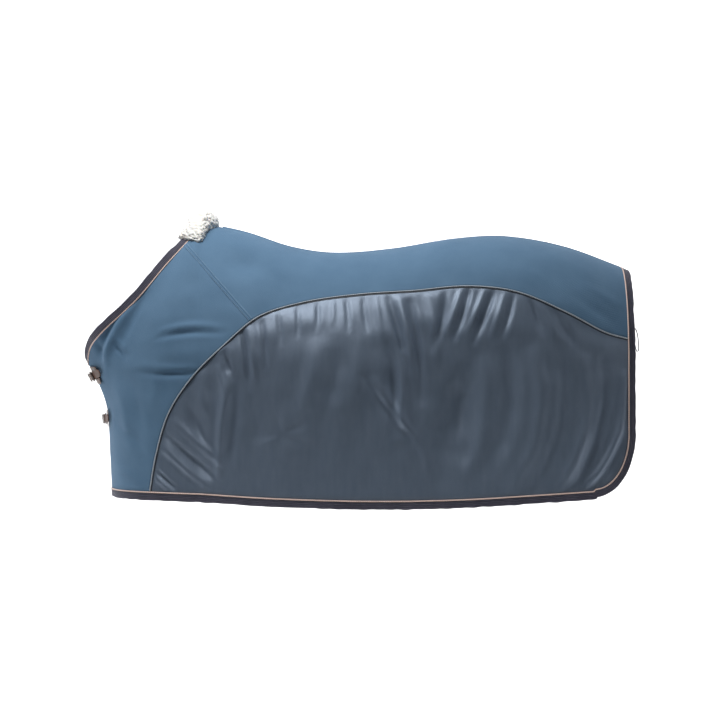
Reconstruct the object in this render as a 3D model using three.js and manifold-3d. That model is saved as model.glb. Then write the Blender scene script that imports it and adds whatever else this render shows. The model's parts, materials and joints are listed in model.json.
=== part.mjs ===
// Horse rug in its worn shape: a jersey top with arched mesh sides, bound edges, a fleece withers pad,
// two leather chest straps with roller buckles and two crossed belly surcingles.
// Millimetres. The horse faces -X and its left side is at -Y. The origin is on the underside of the
// topline seam at the lowest point of the back, where the rug rests.
// Every cloth piece is a patch of one body form: form(along, down). Each trim is swept along an edge.
import * as THREE from "three";
import { mergeVertices } from "three/addons/utils/BufferGeometryUtils.js";
import Module from "manifold-3d";

// ---------------------------------------------------------------- driving dimensions
const backLength = 1377; // cut edge at the withers to cut edge at the tail, measured level
const withersToLow = 432; // withers to the lowest point of the back
const sideDrop = 801; // lowest point of the back down to the cut hem, at the barrel
const barrelWidth = 610;
const withersRise = 98; // withers above the lowest point of the back
const croupRise = 54;
const tailFall = 50;
const chestReach = 374; // front of the neckline ahead of the withers
const chestRetreat = 71; // the chest hangs this far behind the front of the neckline
const neckWidth = 324;
const neckDrop = 454; // withers down to the front of the neckline

const jersey = 3; // cloth thicknesses
const mesh = 2;
const seamGap = 2.2; // between two panels that are sewn edge to edge
const touch = 0.9; // between pieces that lie on each other
const cornerSlack = 6; // more room where two trims meet at a corner
const overlap = 27; // each chest flap's cut edge past the centre line
const flapStep = 5.5; // the left flap lies this far out of the body form, and the right one as far in

const tapeWidth = 24; // the folded binding
const tape = 1.5;
const tapeHold = 5; // how far the cloth's edge sits inside the folded binding
const pipingRadius = 2;
const pipingInset = tapeHold + pipingRadius + touch; // cloth's edge to the middle of the piping
const trimWidth = pipingInset + pipingRadius + touch; // what the binding and the piping cover of the cloth

const strapWidth = 25; // chest straps
const leather = 2;
const billetThickness = 3;
const upperBuckleDrop = 40; // chest straps below the front of the neckline
const buckleSpacing = 143;
const patchHeight = 56;

const surcingleWidth = 38;
const webbing = 2;
const surcingleSpread = 414; // front attachment to rear attachment along the side
const surcingleFront = -163; // place of the front attachment
const surcingleHeight = -565;
const surcinglePatch = 70;

const withersX = -withersToLow;
const tailX = withersX + backLength;
const half = barrelWidth / 2;
const turn = 430; // length given to the quarter turn from the side to the centre of the chest
const centreX = withersX - turn; // value of "along" at the centre of the chest

// ---------------------------------------------------------------- small tools
const vec = (x, y, z) => new THREE.Vector3(x, y, z);
const mix = (a, b, t) => a + (b - a) * t;
const ease = (t) => {
  const u = Math.min(1, Math.max(0, t));
  return u * u * (3 - 2 * u);
};
const power = (x, p) => Math.pow(Math.max(0, x), p);

// A smooth curve through [x, value] pairs in rising x.
function through(pairs) {
  const slope = (i) => {
    const a = pairs[Math.max(0, i - 1)];
    const b = pairs[Math.min(pairs.length - 1, i + 1)];
    return (b[1] - a[1]) / (b[0] - a[0]);
  };
  return (x) => {
    let i = 0;
    while (i < pairs.length - 2 && x > pairs[i + 1][0]) i++;
    const [x0, y0] = pairs[i];
    const [x1, y1] = pairs[i + 1];
    const h = x1 - x0;
    const t = Math.min(1, Math.max(0, (x - x0) / h));
    const t2 = t * t;
    const t3 = t2 * t;
    const level = (2 * t3 - 3 * t2 + 1) * y0 + (3 * t2 - 2 * t3) * y1;
    return level + h * ((t3 - 2 * t2 + t) * slope(i) + (t3 - t2) * slope(i + 1));
  };
}

// The value in [low, high] where a rising function passes the target.
function solve(rising, target, low, high) {
  for (let i = 0; i < 40; i++) {
    const middle = (low + high) / 2;
    if (rising(middle) < target) low = middle;
    else high = middle;
  }
  return (low + high) / 2;
}

// ---------------------------------------------------------------- body form
const station = (share) => withersX + share * backLength;
const topline = through([
  [station(0), withersRise],
  [station(0.1), 0.7 * withersRise],
  [station(0.21), 0.2 * withersRise],
  [station(withersToLow / backLength), 0],
  [station(0.45), 0.25 * croupRise],
  [station(0.6), 0.86 * croupRise],
  [station(0.72), croupRise],
  [station(0.86), 0.37 * croupRise],
  [station(1), -tailFall],
]);
const halfWidth = through([
  [station(0), 0.86 * half],
  [station(0.17), 0.957 * half],
  [station(0.37), half],
  [station(0.59), 0.97 * half],
  [station(0.76), 0.957 * half],
  [station(0.89), 0.86 * half],
  [station(1), 0.672 * half],
]);
const archDepth = through([
  [station(0), 420],
  [station(0.17), 390],
  [station(0.37), 370],
  [station(0.59), 350],
  [station(0.76), 330],
  [station(1), 330],
]);
const squareness = through([
  [station(0), 1.5],
  [station(0.17), 1.8],
  [station(0.37), 2.1],
  [station(0.76), 2.2],
  [station(1), 2],
]);
const hemHeight = through([
  [centreX, 27 - sideDrop],
  [withersX - 0.3 * turn, 25 - sideDrop],
  [withersX, 21 - sideDrop],
  [station(0.17), 8 - sideDrop],
  [station(0.4), -sideDrop],
  [station(0.6), 4 - sideDrop],
  [station(0.79), 19 - sideDrop],
  [station(1), 35 - sideDrop],
]);
const hemFlare = 1.015; // the hem hangs this much wider than the widest line

// The neckline, from the withers round the left of the neck to the centre of the chest.
const neckShape = [
  [0, 0, 0],
  [0.09, 0.37, 0.09],
  [0.31, 0.81, 0.3],
  [0.55, 1, 0.545],
  [0.88, 0.8, 0.795],
  [0.98, 0.42, 0.895],
  [1, 0, 1],
].map(([x, y, z]) => vec(withersX - x * chestReach, (-y * neckWidth) / 2, withersRise - z * neckDrop));
const otherSide = neckShape.slice(1, -1).reverse().map((p) => vec(p.x, -p.y, p.z));
const neckLoop = new THREE.CatmullRomCurve3([...neckShape, ...otherSide], true, "centripetal");

const chestSquareness = 2.4;
const chestDepth = 560; // level of the chest's widest plan outline, below the back
const chestFrontX = withersX - chestReach + chestRetreat;

// Top, widest and lowest point of the rug's girth line at a place along it.
function girthLine(along) {
  if (along >= withersX) {
    const z = topline(along);
    const w = halfWidth(along);
    return {
      top: vec(along, 0, z),
      wide: vec(along, -w, z - archDepth(along)),
      foot: vec(along, -w * hemFlare, hemHeight(along)),
      square: squareness(along),
      lean: 0,
    };
  }
  const share = (withersX - along) / turn;
  const angle = (share * Math.PI) / 2;
  const ahead = power(Math.sin(angle), 2 / chestSquareness);
  const aside = power(Math.cos(angle), 2 / chestSquareness);
  const w = halfWidth(withersX);
  const wideZ = mix(withersRise - archDepth(withersX), -chestDepth, ease(share));
  const hemSetback = 11 * ahead;
  return {
    top: neckLoop.getPoint(share / 2),
    wide: vec(mix(withersX, chestFrontX, ahead), -w * aside, wideZ),
    foot: vec(mix(withersX, chestFrontX, ahead) + hemSetback, -w * hemFlare * aside, hemHeight(along)),
    square: squareness(withersX),
    lean: ease(share * 2.25),
  };
}

const girthSamples = 48;
const girths = new Map();
function girth(along) {
  const key = along.toFixed(4);
  if (girths.has(key)) return girths.get(key);
  const { top, wide, foot, square, lean } = girthLine(along);
  const points = [];
  for (let i = 0; i <= girthSamples; i++) {
    const s = (2 * i) / girthSamples;
    if (s <= 1) {
      const a = (s * Math.PI) / 2;
      const out = mix(power(Math.sin(a), 2 / square), Math.sin(a), lean);
      const down = mix(1 - power(Math.cos(a), 2 / square), s, lean);
      points.push(vec(mix(top.x, wide.x, out), mix(top.y, wide.y, out), mix(top.z, wide.z, down)));
    } else points.push(wide.clone().lerp(foot, s - 1));
  }
  const lengths = [0];
  for (let i = 1; i < points.length; i++) {
    lengths.push(lengths[i - 1] + points[i].distanceTo(points[i - 1]));
  }
  const made = { points, lengths };
  girths.set(key, made);
  return made;
}

// A point of the left half. along runs from the tail to the chest centre, and down from 0 at the top
// to 1 at the hem.
function form(along, down) {
  if (along < centreX) {
    const p = form(2 * centreX - along, down);
    return vec(p.x, -p.y, p.z);
  }
  const { points, lengths } = girth(along);
  const at = Math.min(1, Math.max(0, down)) * lengths[girthSamples];
  let i = 1;
  while (i < girthSamples && lengths[i] < at) i++;
  return points[i - 1].clone().lerp(points[i], (at - lengths[i - 1]) / (lengths[i] - lengths[i - 1]));
}

const downAt = (along, z) => solve((d) => -form(along, d).z, -z, 0, 1);

// The [along, down] of the form's point nearest to p, starting from a guess.
function nearest(p, guess) {
  let along = guess[0];
  let down = Math.max(0, guess[1]);
  for (let i = 0; i < 10; i++) {
    const here = form(along, down);
    const small = down > 0.5 ? -0.002 : 0.002;
    const forward = along > withersX ? -1 : 1;
    const perAlong = form(along + forward, down).sub(here).multiplyScalar(forward);
    const perDown = form(along, down + small).sub(here).divideScalar(small);
    const off = p.clone().sub(here);
    const [aa, ad, dd] = [perAlong.dot(perAlong), perAlong.dot(perDown), perDown.dot(perDown)];
    const scale = aa * dd - ad * ad;
    const stepAlong = (dd * off.dot(perAlong) - ad * off.dot(perDown)) / scale;
    const stepDown = (aa * off.dot(perDown) - ad * off.dot(perAlong)) / scale;
    along = Math.min(tailX, Math.max(centreX - 2 * overlap, along + stepAlong));
    down = Math.min(1, Math.max(0, down + stepDown));
  }
  return [along, down];
}

// The [along, down] of a point drawn in the side view.
function onSide(x, z) {
  if (x >= withersX) return [x, downAt(x, z)];
  const along = solve((a) => form(a, downAt(a, z)).x, x, centreX, withersX);
  return [along, downAt(along, z)];
}

// ---------------------------------------------------------------- closed shapes
function closedGeometry(points, triangles) {
  let volume = 0;
  for (const [a, b, c] of triangles) volume += points[a].dot(points[b].clone().cross(points[c]));
  const index = triangles.flatMap(([a, b, c]) => (volume < 0 ? [a, c, b] : [a, b, c]));
  const geometry = new THREE.BufferGeometry().setFromPoints(points);
  geometry.setIndex(index);
  return geometry;
}

// A closed skin through rings of points, one ring for each section of the piece.
function loft(rings, outline) {
  const n = rings[0].length;
  const flat = outline ?? rings[0].map((_, i) => {
    const a = (2 * Math.PI * i) / n;
    return new THREE.Vector2(Math.cos(a), Math.sin(a));
  });
  const caps = THREE.ShapeUtils.triangulateShape(flat, []).map(([a, b, c]) => {
    const sameTurn = THREE.ShapeUtils.area([flat[a], flat[b], flat[c]]) * THREE.ShapeUtils.area(flat) > 0;
    return sameTurn ? [a, b, c] : [a, c, b];
  });
  const triangles = [];
  for (let r = 0; r < rings.length - 1; r++) {
    for (let i = 0; i < n; i++) {
      const a = r * n + i;
      const b = r * n + ((i + 1) % n);
      triangles.push([a, b, a + n], [b, b + n, a + n]);
    }
  }
  const last = (rings.length - 1) * n;
  for (const [a, b, c] of caps) triangles.push([c, b, a], [last + a, last + b, last + c]);
  return closedGeometry(rings.flat(), triangles);
}

// Sweeps a section, drawn as [inward, outward] pairs, along frames of {point, inward, outward}.
function sweep(frames, section) {
  const outline = section.map(([b, n]) => new THREE.Vector2(b, n));
  const ring = (f) =>
    section.map(([b, n]) => f.point.clone().addScaledVector(f.inward, b).addScaledVector(f.outward, n));
  return loft(frames.map(ring), outline);
}

const roundSection = (radius, inward, outward, sides = 6) =>
  Array.from({ length: sides }, (_, i) => {
    const a = (2 * Math.PI * i) / sides;
    return [inward + radius * Math.cos(a), outward + radius * Math.sin(a)];
  });

const boxSection = (b0, b1, n0, n1) => [
  [b0, n0],
  [b1, n0],
  [b1, n1],
  [b0, n1],
];

const wasm = await Module();
wasm.setup();
function solid(geometry) {
  const bare = geometry.clone();
  bare.deleteAttribute("normal");
  bare.deleteAttribute("uv");
  const merged = mergeVertices(bare, 1e-4);
  return new wasm.Manifold(
    new wasm.Mesh({
      numProp: 3,
      vertProperties: merged.attributes.position.array,
      triVerts: new Uint32Array(merged.index.array),
    }),
  );
}
function geometryOf(manifold) {
  const { vertProperties, triVerts } = manifold.getMesh();
  const geometry = new THREE.BufferGeometry();
  geometry.setAttribute("position", new THREE.BufferAttribute(vertProperties, 3));
  geometry.setIndex(new THREE.BufferAttribute(triVerts, 1));
  return geometry;
}
const joined = (...parts) => geometryOf(parts.map(solid).reduce((a, b) => a.add(b)));
const cut = (body, ...tools) => geometryOf(tools.map(solid).reduce((a, b) => a.subtract(b), solid(body)));

// ---------------------------------------------------------------- cloth panels
// A patch between four edges of [along, down] points: top and bottom run the same way, and so do left
// and right.
// Its inner points are blended from the edges in space and then laid on the form.
function patch(top, bottom, left, right) {
  const columns = top.length - 1;
  const rows = left.length - 1;
  const space = (edgePoints) => edgePoints.map(([along, down]) => form(along, down).toArray());
  const blended = (k, i, j, [t, b, l, r]) => {
    const [a, c] = [i / columns, j / rows];
    const corners = mix(mix(t[0][k], t[columns][k], a), mix(b[0][k], b[columns][k], a), c);
    return mix(t[i][k], b[i][k], c) + mix(l[j][k], r[j][k], a) - corners;
  };
  const flat = [top, bottom, left, right];
  const solidEdges = flat.map(space);
  return left.map((_, j) =>
    top.map((_, i) => {
      if (j === 0) return top[i];
      if (j === rows) return bottom[i];
      if (i === 0) return left[j];
      if (i === columns) return right[j];
      const target = vec(...[0, 1, 2].map((k) => blended(k, i, j, solidEdges)));
      return nearest(target, [0, 1].map((k) => blended(k, i, j, flat)));
    }),
  );
}

// Adds lines of points to a patch, each one trim's width from a line of points and towards the next,
// given as [line, next] numbers. The cloth is then flat under the trims, and panels that meet share
// their points.
function ruled(grid, rowPairs, columnPairs) {
  const beside = (a, b) => {
    const [from, to] = [form(...a), form(...b)];
    const t = trimWidth / from.distanceTo(to);
    const found = nearest(from.lerp(to, t), [mix(a[0], b[0], t), mix(a[1], b[1], t)]);
    return found.map((value, k) => (a[k] === b[k] ? a[k] : value)); // stays on a straight border
  };
  const out = grid.map((row) => [...row]);
  for (const [line, next] of columnPairs.toReversed()) {
    out.forEach((row) => row.splice(Math.max(line, next), 0, beside(row[line], row[next])));
  }
  for (const [line, next] of rowPairs.toReversed()) {
    out.splice(Math.max(line, next), 0, out[line].map((p, i) => beside(p, out[next][i])));
  }
  return out;
}

const flapEdge = centreX - overlap;
const rampStart = 95; // the flap's step fades out between these distances from the centre of the chest
const rampEnd = 190;
const step = (along) => flapStep * (1 - ease((along - centreX - rampStart) / (rampEnd - rampStart)));

// Points and outward normals of a patch. Seam edges are pulled back by half the seam gap.
function panelOf(grid, layer, seams) {
  const rows = grid.length;
  const columns = grid[0].length;
  const at = grid.map((row) => row.map(([along, down]) => form(along, down)));
  const clampRow = (j) => Math.min(rows - 1, Math.max(0, j));
  const clampColumn = (i) => Math.min(columns - 1, Math.max(0, i));
  const normal = at.map((row, j) =>
    row.map((p, i) => {
      const across = at[j][clampColumn(i + 1)].clone().sub(at[j][clampColumn(i - 1)]);
      const downward = at[clampRow(j + 1)][i].clone().sub(at[clampRow(j - 1)][i]);
      const n = downward.cross(across).normalize();
      if (seams.spine && j === 0 && Math.abs(p.y) < 1e-6) n.setY(0).normalize();
      return n;
    }),
  );
  const point = at.map((row, j) =>
    row.map((p, i) => p.clone().addScaledVector(normal[j][i], layer * step(grid[j][i][0]))),
  );
  const pull = (j, i, toRow, toColumn) =>
    point[toRow][toColumn].clone().sub(point[j][i]).setLength(seamGap / 2);
  const moved = point.map((row, j) =>
    row.map((p, i) => {
      const q = p.clone();
      if (seams.top?.(i) && j === 0) q.add(pull(j, i, 1, i));
      if (seams.bottom?.(i) && j === rows - 1) q.add(pull(j, i, rows - 2, i));
      if (seams.left?.(j) && i === 0) q.add(pull(j, i, j, 1));
      if (seams.right?.(j) && i === columns - 1) q.add(pull(j, i, j, columns - 2));
      return q;
    }),
  );
  return { point: moved, normal, rows, columns };
}

const rimPinch = 0.8; // the stitching presses every edge of the cloth this much thinner
function panelGeometry({ point, normal, rows, columns }, thickness) {
  const points = [];
  const onRim = (j, i) => j === 0 || i === 0 || j === rows - 1 || i === columns - 1;
  for (const sign of [1, -1]) {
    point.forEach((row, j) =>
      row.forEach((p, i) => {
        const here = onRim(j, i) ? thickness - rimPinch : thickness;
        points.push(p.clone().addScaledVector(normal[j][i], (sign * here) / 2));
      }),
    );
  }
  const back = rows * columns;
  const at = (j, i) => j * columns + i;
  const triangles = [];
  for (let j = 0; j < rows - 1; j++) {
    for (let i = 0; i < columns - 1; i++) {
      const [a, b, c, d] = [at(j, i), at(j, i + 1), at(j + 1, i + 1), at(j + 1, i)];
      triangles.push([a, b, c], [a, c, d], [back + a, back + c, back + b], [back + a, back + d, back + c]);
    }
  }
  const rim = [];
  for (let i = 0; i < columns; i++) rim.push(at(0, i));
  for (let j = 1; j < rows; j++) rim.push(at(j, columns - 1));
  for (let i = columns - 2; i >= 0; i--) rim.push(at(rows - 1, i));
  for (let j = rows - 2; j >= 1; j--) rim.push(at(j, 0));
  rim.forEach((a, k) => {
    const b = rim[(k + 1) % rim.length];
    triangles.push([b, a, back + a], [b, back + a, back + b]);
  });
  return closedGeometry(points, triangles);
}

// Frames along one side of a panel, or a stretch of it, for the trims: inward points into the cloth,
// outward away from the horse.
function edge(panel, side, from = 0, to = Infinity) {
  const { point, normal, rows, columns } = panel;
  const place = {
    top: (k) => [0, k, 1, k],
    bottom: (k) => [rows - 1, k, rows - 2, k],
    left: (k) => [k, 0, k, 1],
    right: (k) => [k, columns - 1, k, columns - 2],
  }[side];
  const last = Math.min(to, (side === "top" || side === "bottom" ? columns : rows) - 1);
  const get = (k) => {
    const [j, i] = place(Math.min(last, Math.max(from, k)));
    return point[j][i];
  };
  return Array.from({ length: last - from + 1 }, (_, step) => {
    const k = from + step;
    const [j, i, jIn, iIn] = place(k);
    const tangent = get(k + 1).clone().sub(get(k - 1)).normalize();
    const inward = point[jIn][iIn].clone().sub(point[j][i]).normalize();
    // Below 1 where the patch's lines meet the edge askew.
    const square = inward.clone().cross(tangent).length();
    inward.divideScalar(Math.max(0.7, square));
    return { point: point[j][i].clone(), inward, outward: normal[j][i].clone() };
  });
}

const between = (f, g, t) => ({
  point: f.point.clone().lerp(g.point, t),
  inward: f.inward.clone().lerp(g.inward, t),
  outward: f.outward.clone().lerp(g.outward, t).normalize(),
});
// Joins runs of frames end to end. Where two runs start from the same corner, one frame stands for both.
function chain(...runs) {
  const out = [...runs[0]];
  for (const run of runs.slice(1)) {
    const shared = out.at(-1).point.distanceTo(run[0].point) < 0.01;
    if (shared) out.splice(-1, 1, between(out.at(-1), run[0], 0.5), ...run.slice(1));
    else out.push(...run);
  }
  return out;
}
// Shortens a run of frames by a length at each end; a negative length extends it.
function trimmed(frames, atStart, atEnd) {
  const shorten = (list, length) => {
    let left = length;
    const rest = [...list];
    while (rest.length > 2 && left > 0 && rest[0].point.distanceTo(rest[1].point) <= left) {
      left -= rest[0].point.distanceTo(rest[1].point);
      rest.shift();
    }
    const span = rest[0].point.distanceTo(rest[1].point);
    const t = left / span;
    const first = between(rest[0], rest[1], Math.max(0, t));
    if (t < 0) first.point = rest[0].point.clone().lerp(rest[1].point, t);
    return [first, ...rest.slice(1)];
  };
  const front = shorten(frames, atStart);
  return shorten(front.reverse(), atEnd).reverse();
}
const mirrorVector = (p) => vec(p.x, -p.y, p.z);
const mirrorFrame = (f) => ({
  point: mirrorVector(f.point),
  inward: mirrorVector(f.inward),
  outward: mirrorVector(f.outward),
});
function mirrored(geometry) {
  const out = geometry.index ? geometry.clone() : mergeVertices(geometry);
  out.deleteAttribute("normal");
  out.deleteAttribute("uv");
  out.scale(1, -1, 1);
  const index = out.index.array;
  for (let i = 0; i < index.length; i += 3) [index[i + 1], index[i + 2]] = [index[i + 2], index[i + 1]];
  return out;
}

// ---------------------------------------------------------------- outlines drawn in the side view
// The arch between jersey and mesh, from the hem up over the barrel to the tail.
const archTop = 131; // below the back, at the barrel
const archFoot = withersX - 153;
const archCurve = new THREE.CatmullRomCurve3(
  [
    [archFoot, hemHeight(withersX - 0.3 * turn)],
    [archFoot + 22, -650],
    [archFoot + 62, -518],
    [archFoot + 140, -400],
    [archFoot + 250, -292],
    [station(0.14), -archTop - 83],
    [station(0.24), -archTop - 38],
    [station(0.37), -archTop - 12],
    [station(0.5), -archTop],
    [station(0.62), -archTop + 14],
    [station(0.73), -archTop - 3],
    [station(0.85), -archTop - 70],
    [station(0.94), -archTop - 132],
    [tailX, -archTop - 153],
  ].map(([x, z]) => vec(x, 0, z)),
  false,
  "centripetal",
);
const archSteps = 26;
const archCorner = 6; // the station where the mesh panel's front edge becomes its top edge
const junction = 9; // the station where the shoulder seam meets the arch
const arch = Array.from({ length: archSteps + 1 }, (_, k) => {
  const p = archCurve.getPointAt(k / archSteps);
  if (k === 0) return [onSide(p.x, p.z + 0.5)[0], 1];
  return onSide(p.x, p.z);
});

// The shoulder seam, from the neckline down and back to the arch.
const seamSteps = 6;
const seamNeck = withersX - 0.22 * turn; // its place along the neckline
const seamTop = form(seamNeck, 0);
const seamFoot = form(...arch[junction]);
const shoulderSeam = Array.from({ length: seamSteps + 1 }, (_, k) => {
  if (k === 0) return [seamNeck, 0];
  if (k === seamSteps) return arch[junction];
  return onSide(mix(seamTop.x, seamFoot.x, k / seamSteps), mix(seamTop.z, seamFoot.z, k / seamSteps));
});

// The rounded corner of the hem at the tail.
const cornerLength = 120;
const cornerRise = 180;
const cornerSteps = 3; // in each half of the corner
const cornerCentre = [tailX - cornerLength, hemHeight(tailX) + cornerRise];
const corner = Array.from({ length: 2 * cornerSteps + 1 }, (_, k) => {
  const a = (k / (2 * cornerSteps)) * (Math.PI / 2);
  if (k === 0) return [cornerCentre[0], 1];
  const x = cornerCentre[0] + cornerLength * Math.sin(a);
  const z = cornerCentre[1] - cornerRise * Math.cos(a);
  return onSide(Math.min(tailX, x), z);
});

const spread = (from, to, steps) =>
  Array.from({ length: steps + 1 }, (_, k) => [0, 1].map((axis) => mix(from[axis], to[axis], k / steps)));

// ---------------------------------------------------------------- one side's panels
const neckBitSteps = 5; // from the withers to the shoulder seam
function sidePanels(layer) {
  // Back panel: spine on top, arch below, a bit of neckline and the shoulder seam in front.
  const archBack = arch.slice(junction);
  const spine = spread([withersX, 0], [tailX, 0], archBack.length - 1);
  const frontEdge = [...spread([withersX, 0], [seamNeck, 0], neckBitSteps), ...shoulderSeam.slice(1)];
  const tailTop = spread([tailX, 0], arch[archSteps], frontEdge.length - 1);
  const backRows = [[0, 1], [neckBitSteps, neckBitSteps + 1]];
  const backColumns = [[0, 1], [spine.length - 1, spine.length - 2]];
  const backGrid = ruled(patch(spine, archBack, frontEdge, tailTop), backRows, backColumns);
  const back = panelOf(backGrid, layer, {
    spine: true,
    top: () => true,
    bottom: () => true,
    left: (j) => j > neckBitSteps,
  });

  // Shoulder panel: neckline on top, chest edge in front, hem below, arch and shoulder seam behind.
  const rear = [...shoulderSeam, ...arch.slice(0, junction).reverse()];
  const acrossSteps = 9;
  const neck = spread([flapEdge, 0], [seamNeck, 0], acrossSteps);
  const hemFront = spread([flapEdge, 1], arch[0], acrossSteps);
  const chestEdge = spread([flapEdge, 0], [flapEdge, 1], rear.length - 1);
  const shoulderRows = [[0, 1], [rear.length - 1, rear.length - 2]];
  const shoulderGrid = ruled(patch(neck, hemFront, chestEdge, rear), shoulderRows, [[0, 1]]);
  const shoulder = panelOf(shoulderGrid, layer, { right: () => true });

  // Mesh panel: arch in front and on top, tail edge behind, hem below.
  const top = arch.slice(archCorner);
  const front = arch.slice(0, archCorner + 1).reverse();
  const hemSteps = top.length - 1 - cornerSteps;
  const hem = [...spread(arch[0], corner[0], hemSteps), ...corner.slice(1, cornerSteps + 1)];
  const upTail = corner.slice(cornerSteps).reverse();
  const tailSteps = front.length - 1 - (upTail.length - 1);
  const tail = [...spread(arch[archSteps], upTail[0], tailSteps), ...upTail.slice(1)];
  const seamColumn = junction - archCorner;
  const sideRows = [[front.length - 1, front.length - 2]];
  const sideColumns = [[seamColumn, seamColumn + 1], [top.length - 1, top.length - 2]];
  const sideGrid = ruled(patch(top, hem, front, tail), sideRows, sideColumns);
  const side = panelOf(sideGrid, layer, { top: () => true, left: () => true });
  return { back, shoulder, side };
}

const left = sidePanels(1);
const right = sidePanels(-1);

// ---------------------------------------------------------------- materials and the part's group
const finish = (color, roughness, metalness = 0) =>
  new THREE.MeshStandardMaterial({ color, roughness, metalness });
const finishes = {
  jersey: finish(0x5d7a96, 0.9),
  mesh: finish(0x56616f, 0.6),
  binding: finish(0x2c2d3d, 0.85),
  rose: finish(0xd9a894, 0.5),
  silver: finish(0xa9adb3, 0.5),
  fleece: finish(0xf4f1e8, 1),
  leather: finish(0x5f4238, 0.6),
  metal: finish(0xc9c9cc, 0.25, 1),
  webbing: finish(0x23242e, 0.85),
};

const rug = new THREE.Group();
function add(name, geometry, material, parent = rug) {
  const made = new THREE.Mesh(geometry, finishes[material]);
  made.name = name;
  parent.add(made);
  return made;
}
const bothSides = [
  ["left", left, (g) => g],
  ["right", right, mirrored],
];

for (const [name, panels, placed] of bothSides) {
  add(`back_panel_${name}`, placed(panelGeometry(panels.back, jersey)), "jersey");
  add(`shoulder_panel_${name}`, placed(panelGeometry(panels.shoulder, jersey)), "jersey");
  add(`mesh_panel_${name}`, placed(panelGeometry(panels.side, mesh)), "mesh");
}

// ---------------------------------------------------------------- bindings, piping and seam tapes
const bindingEase = 1.6; // between the cloth and the inside of the folded binding
const groove = jersey / 2 + bindingEase;
const tapeOutside = tapeHold - tapeWidth; // how far the binding stands out past the cloth's edge
const bindingSection = [
  [tapeHold, groove],
  [tapeHold, groove + tape],
  [tapeOutside, groove + tape],
  [tapeOutside, -groove - tape],
  [tapeHold, -groove - tape],
  [tapeHold, -groove],
  [-touch, -groove],
  [-touch, groove],
];
const pipingLift = jersey / 2 + pipingRadius + touch;
const edgePiping = roundSection(pipingRadius, pipingInset, pipingLift);

function sideEdges({ back, shoulder, side }) {
  const seamStart = neckBitSteps + 1; // the line of points beside the spine comes before it
  const neckBack = edge(back, "left", 0, seamStart);
  const neckFront = edge(shoulder, "top").reverse();
  const hemFront = edge(shoulder, "bottom");
  const hemBack = edge(side, "bottom");
  const tailLow = edge(side, "right").reverse();
  const tailHigh = edge(back, "right").reverse();
  return {
    neck: chain(neckBack, neckFront), // from the withers to the chest
    hem: chain(hemFront, hemBack, tailLow, tailHigh), // from the chest to the top of the tail
    chest: edge(shoulder, "left"), // from the neckline to the hem
    arch: chain(edge(side, "left").reverse(), edge(side, "top")), // from the hem to the tail
    seam: edge(back, "left", seamStart), // from the neckline to the arch, on the back panel
    seamFront: edge(shoulder, "right", 0, seamSteps + 1), // the same on the shoulder panel
    spine: edge(back, "top"), // from the withers to the tail
  };
}
const edges = { left: sideEdges(left), right: sideEdges(right) };

// The frame on the centre line of the withers, shared by both sides.
function withersFrame() {
  const a = edges.left.neck[0];
  return {
    point: vec(a.point.x, 0, a.point.z),
    inward: vec(a.inward.x, 0, a.inward.z).normalize(),
    outward: vec(a.outward.x, 0, a.outward.z).normalize(),
  };
}
const neckFrames = [
  ...edges.left.neck.slice(1).reverse(),
  withersFrame(),
  ...edges.right.neck.slice(1).map(mirrorFrame),
];
const pastEdge = -(tapeWidth - tapeHold); // the binding runs on past a corner of the cloth by its own width
add("neck_binding", sweep(trimmed(neckFrames, pastEdge, pastEdge), bindingSection), "binding");
const cornerRoom = trimWidth + cornerSlack;
const bindingRoom = tapeHold + cornerSlack;
add("neck_piping", sweep(trimmed(neckFrames, cornerRoom, cornerRoom), edgePiping), "rose");

for (const [name, , placed] of bothSides) {
  const e = edges[name];
  const hem = trimmed(e.hem, pastEdge, touch);
  add(`hem_binding_${name}`, placed(sweep(hem, bindingSection)), "binding");
  const hemPiping = trimmed(e.hem, cornerRoom, touch + pipingRadius);
  add(`hem_piping_${name}`, placed(sweep(hemPiping, edgePiping)), "rose");
  const chest = trimmed(e.chest, bindingRoom, bindingRoom);
  add(`front_binding_${name}`, placed(sweep(chest, bindingSection)), "binding");
  const chestPiping = trimmed(e.chest, cornerRoom, cornerRoom);
  add(`front_piping_${name}`, placed(sweep(chestPiping, edgePiping)), "rose");
  const archFrames = trimmed(e.arch, cornerRoom, cornerRoom);
  const archCord = roundSection(pipingRadius, -seamGap / 2, pipingLift);
  add(`arch_piping_${name}`, placed(sweep(archFrames, archCord)), "silver");
}

// Tape sewn inside a seam: a shallow roof, with one wing on each panel.
const tapeThickness = 1.5;
function seamTape(framesA, framesB, width) {
  const drop = jersey / 2 + touch;
  const sag = 1; // the wings lie this much lower than the fold of the tape
  const ring = (f, g) => {
    const up = f.outward.clone().add(g.outward).normalize();
    const middle = f.point.clone().lerp(g.point, 0.5);
    const centre = (low) => middle.clone().addScaledVector(up, -drop - low);
    const wing = (frame, low) => {
      const tip = frame.point.clone().addScaledVector(frame.inward, width / 2);
      return tip.addScaledVector(frame.outward, -drop - sag - low);
    };
    const under = [wing(g, tapeThickness), centre(tapeThickness), wing(f, tapeThickness)];
    return [wing(f, 0), centre(0), wing(g, 0), ...under];
  };
  const outline = [
    [-1, 0],
    [0, 1],
    [1, 0],
    [1, -2],
    [0, -1],
    [-1, -2],
  ].map(([x, y]) => new THREE.Vector2(x, y));
  return loft(framesA.map((f, i) => ring(f, framesB[i])), outline);
}

const shoulderTapeWidth = 14;
for (const [name, , placed] of bothSides) {
  const e = edges[name];
  const ends = (frames) => trimmed(frames, trimWidth, trimWidth);
  const seam = seamTape(ends(e.seam), ends(e.seamFront), shoulderTapeWidth);
  add(`shoulder_seam_tape_${name}`, placed(seam), "binding");
}

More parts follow.
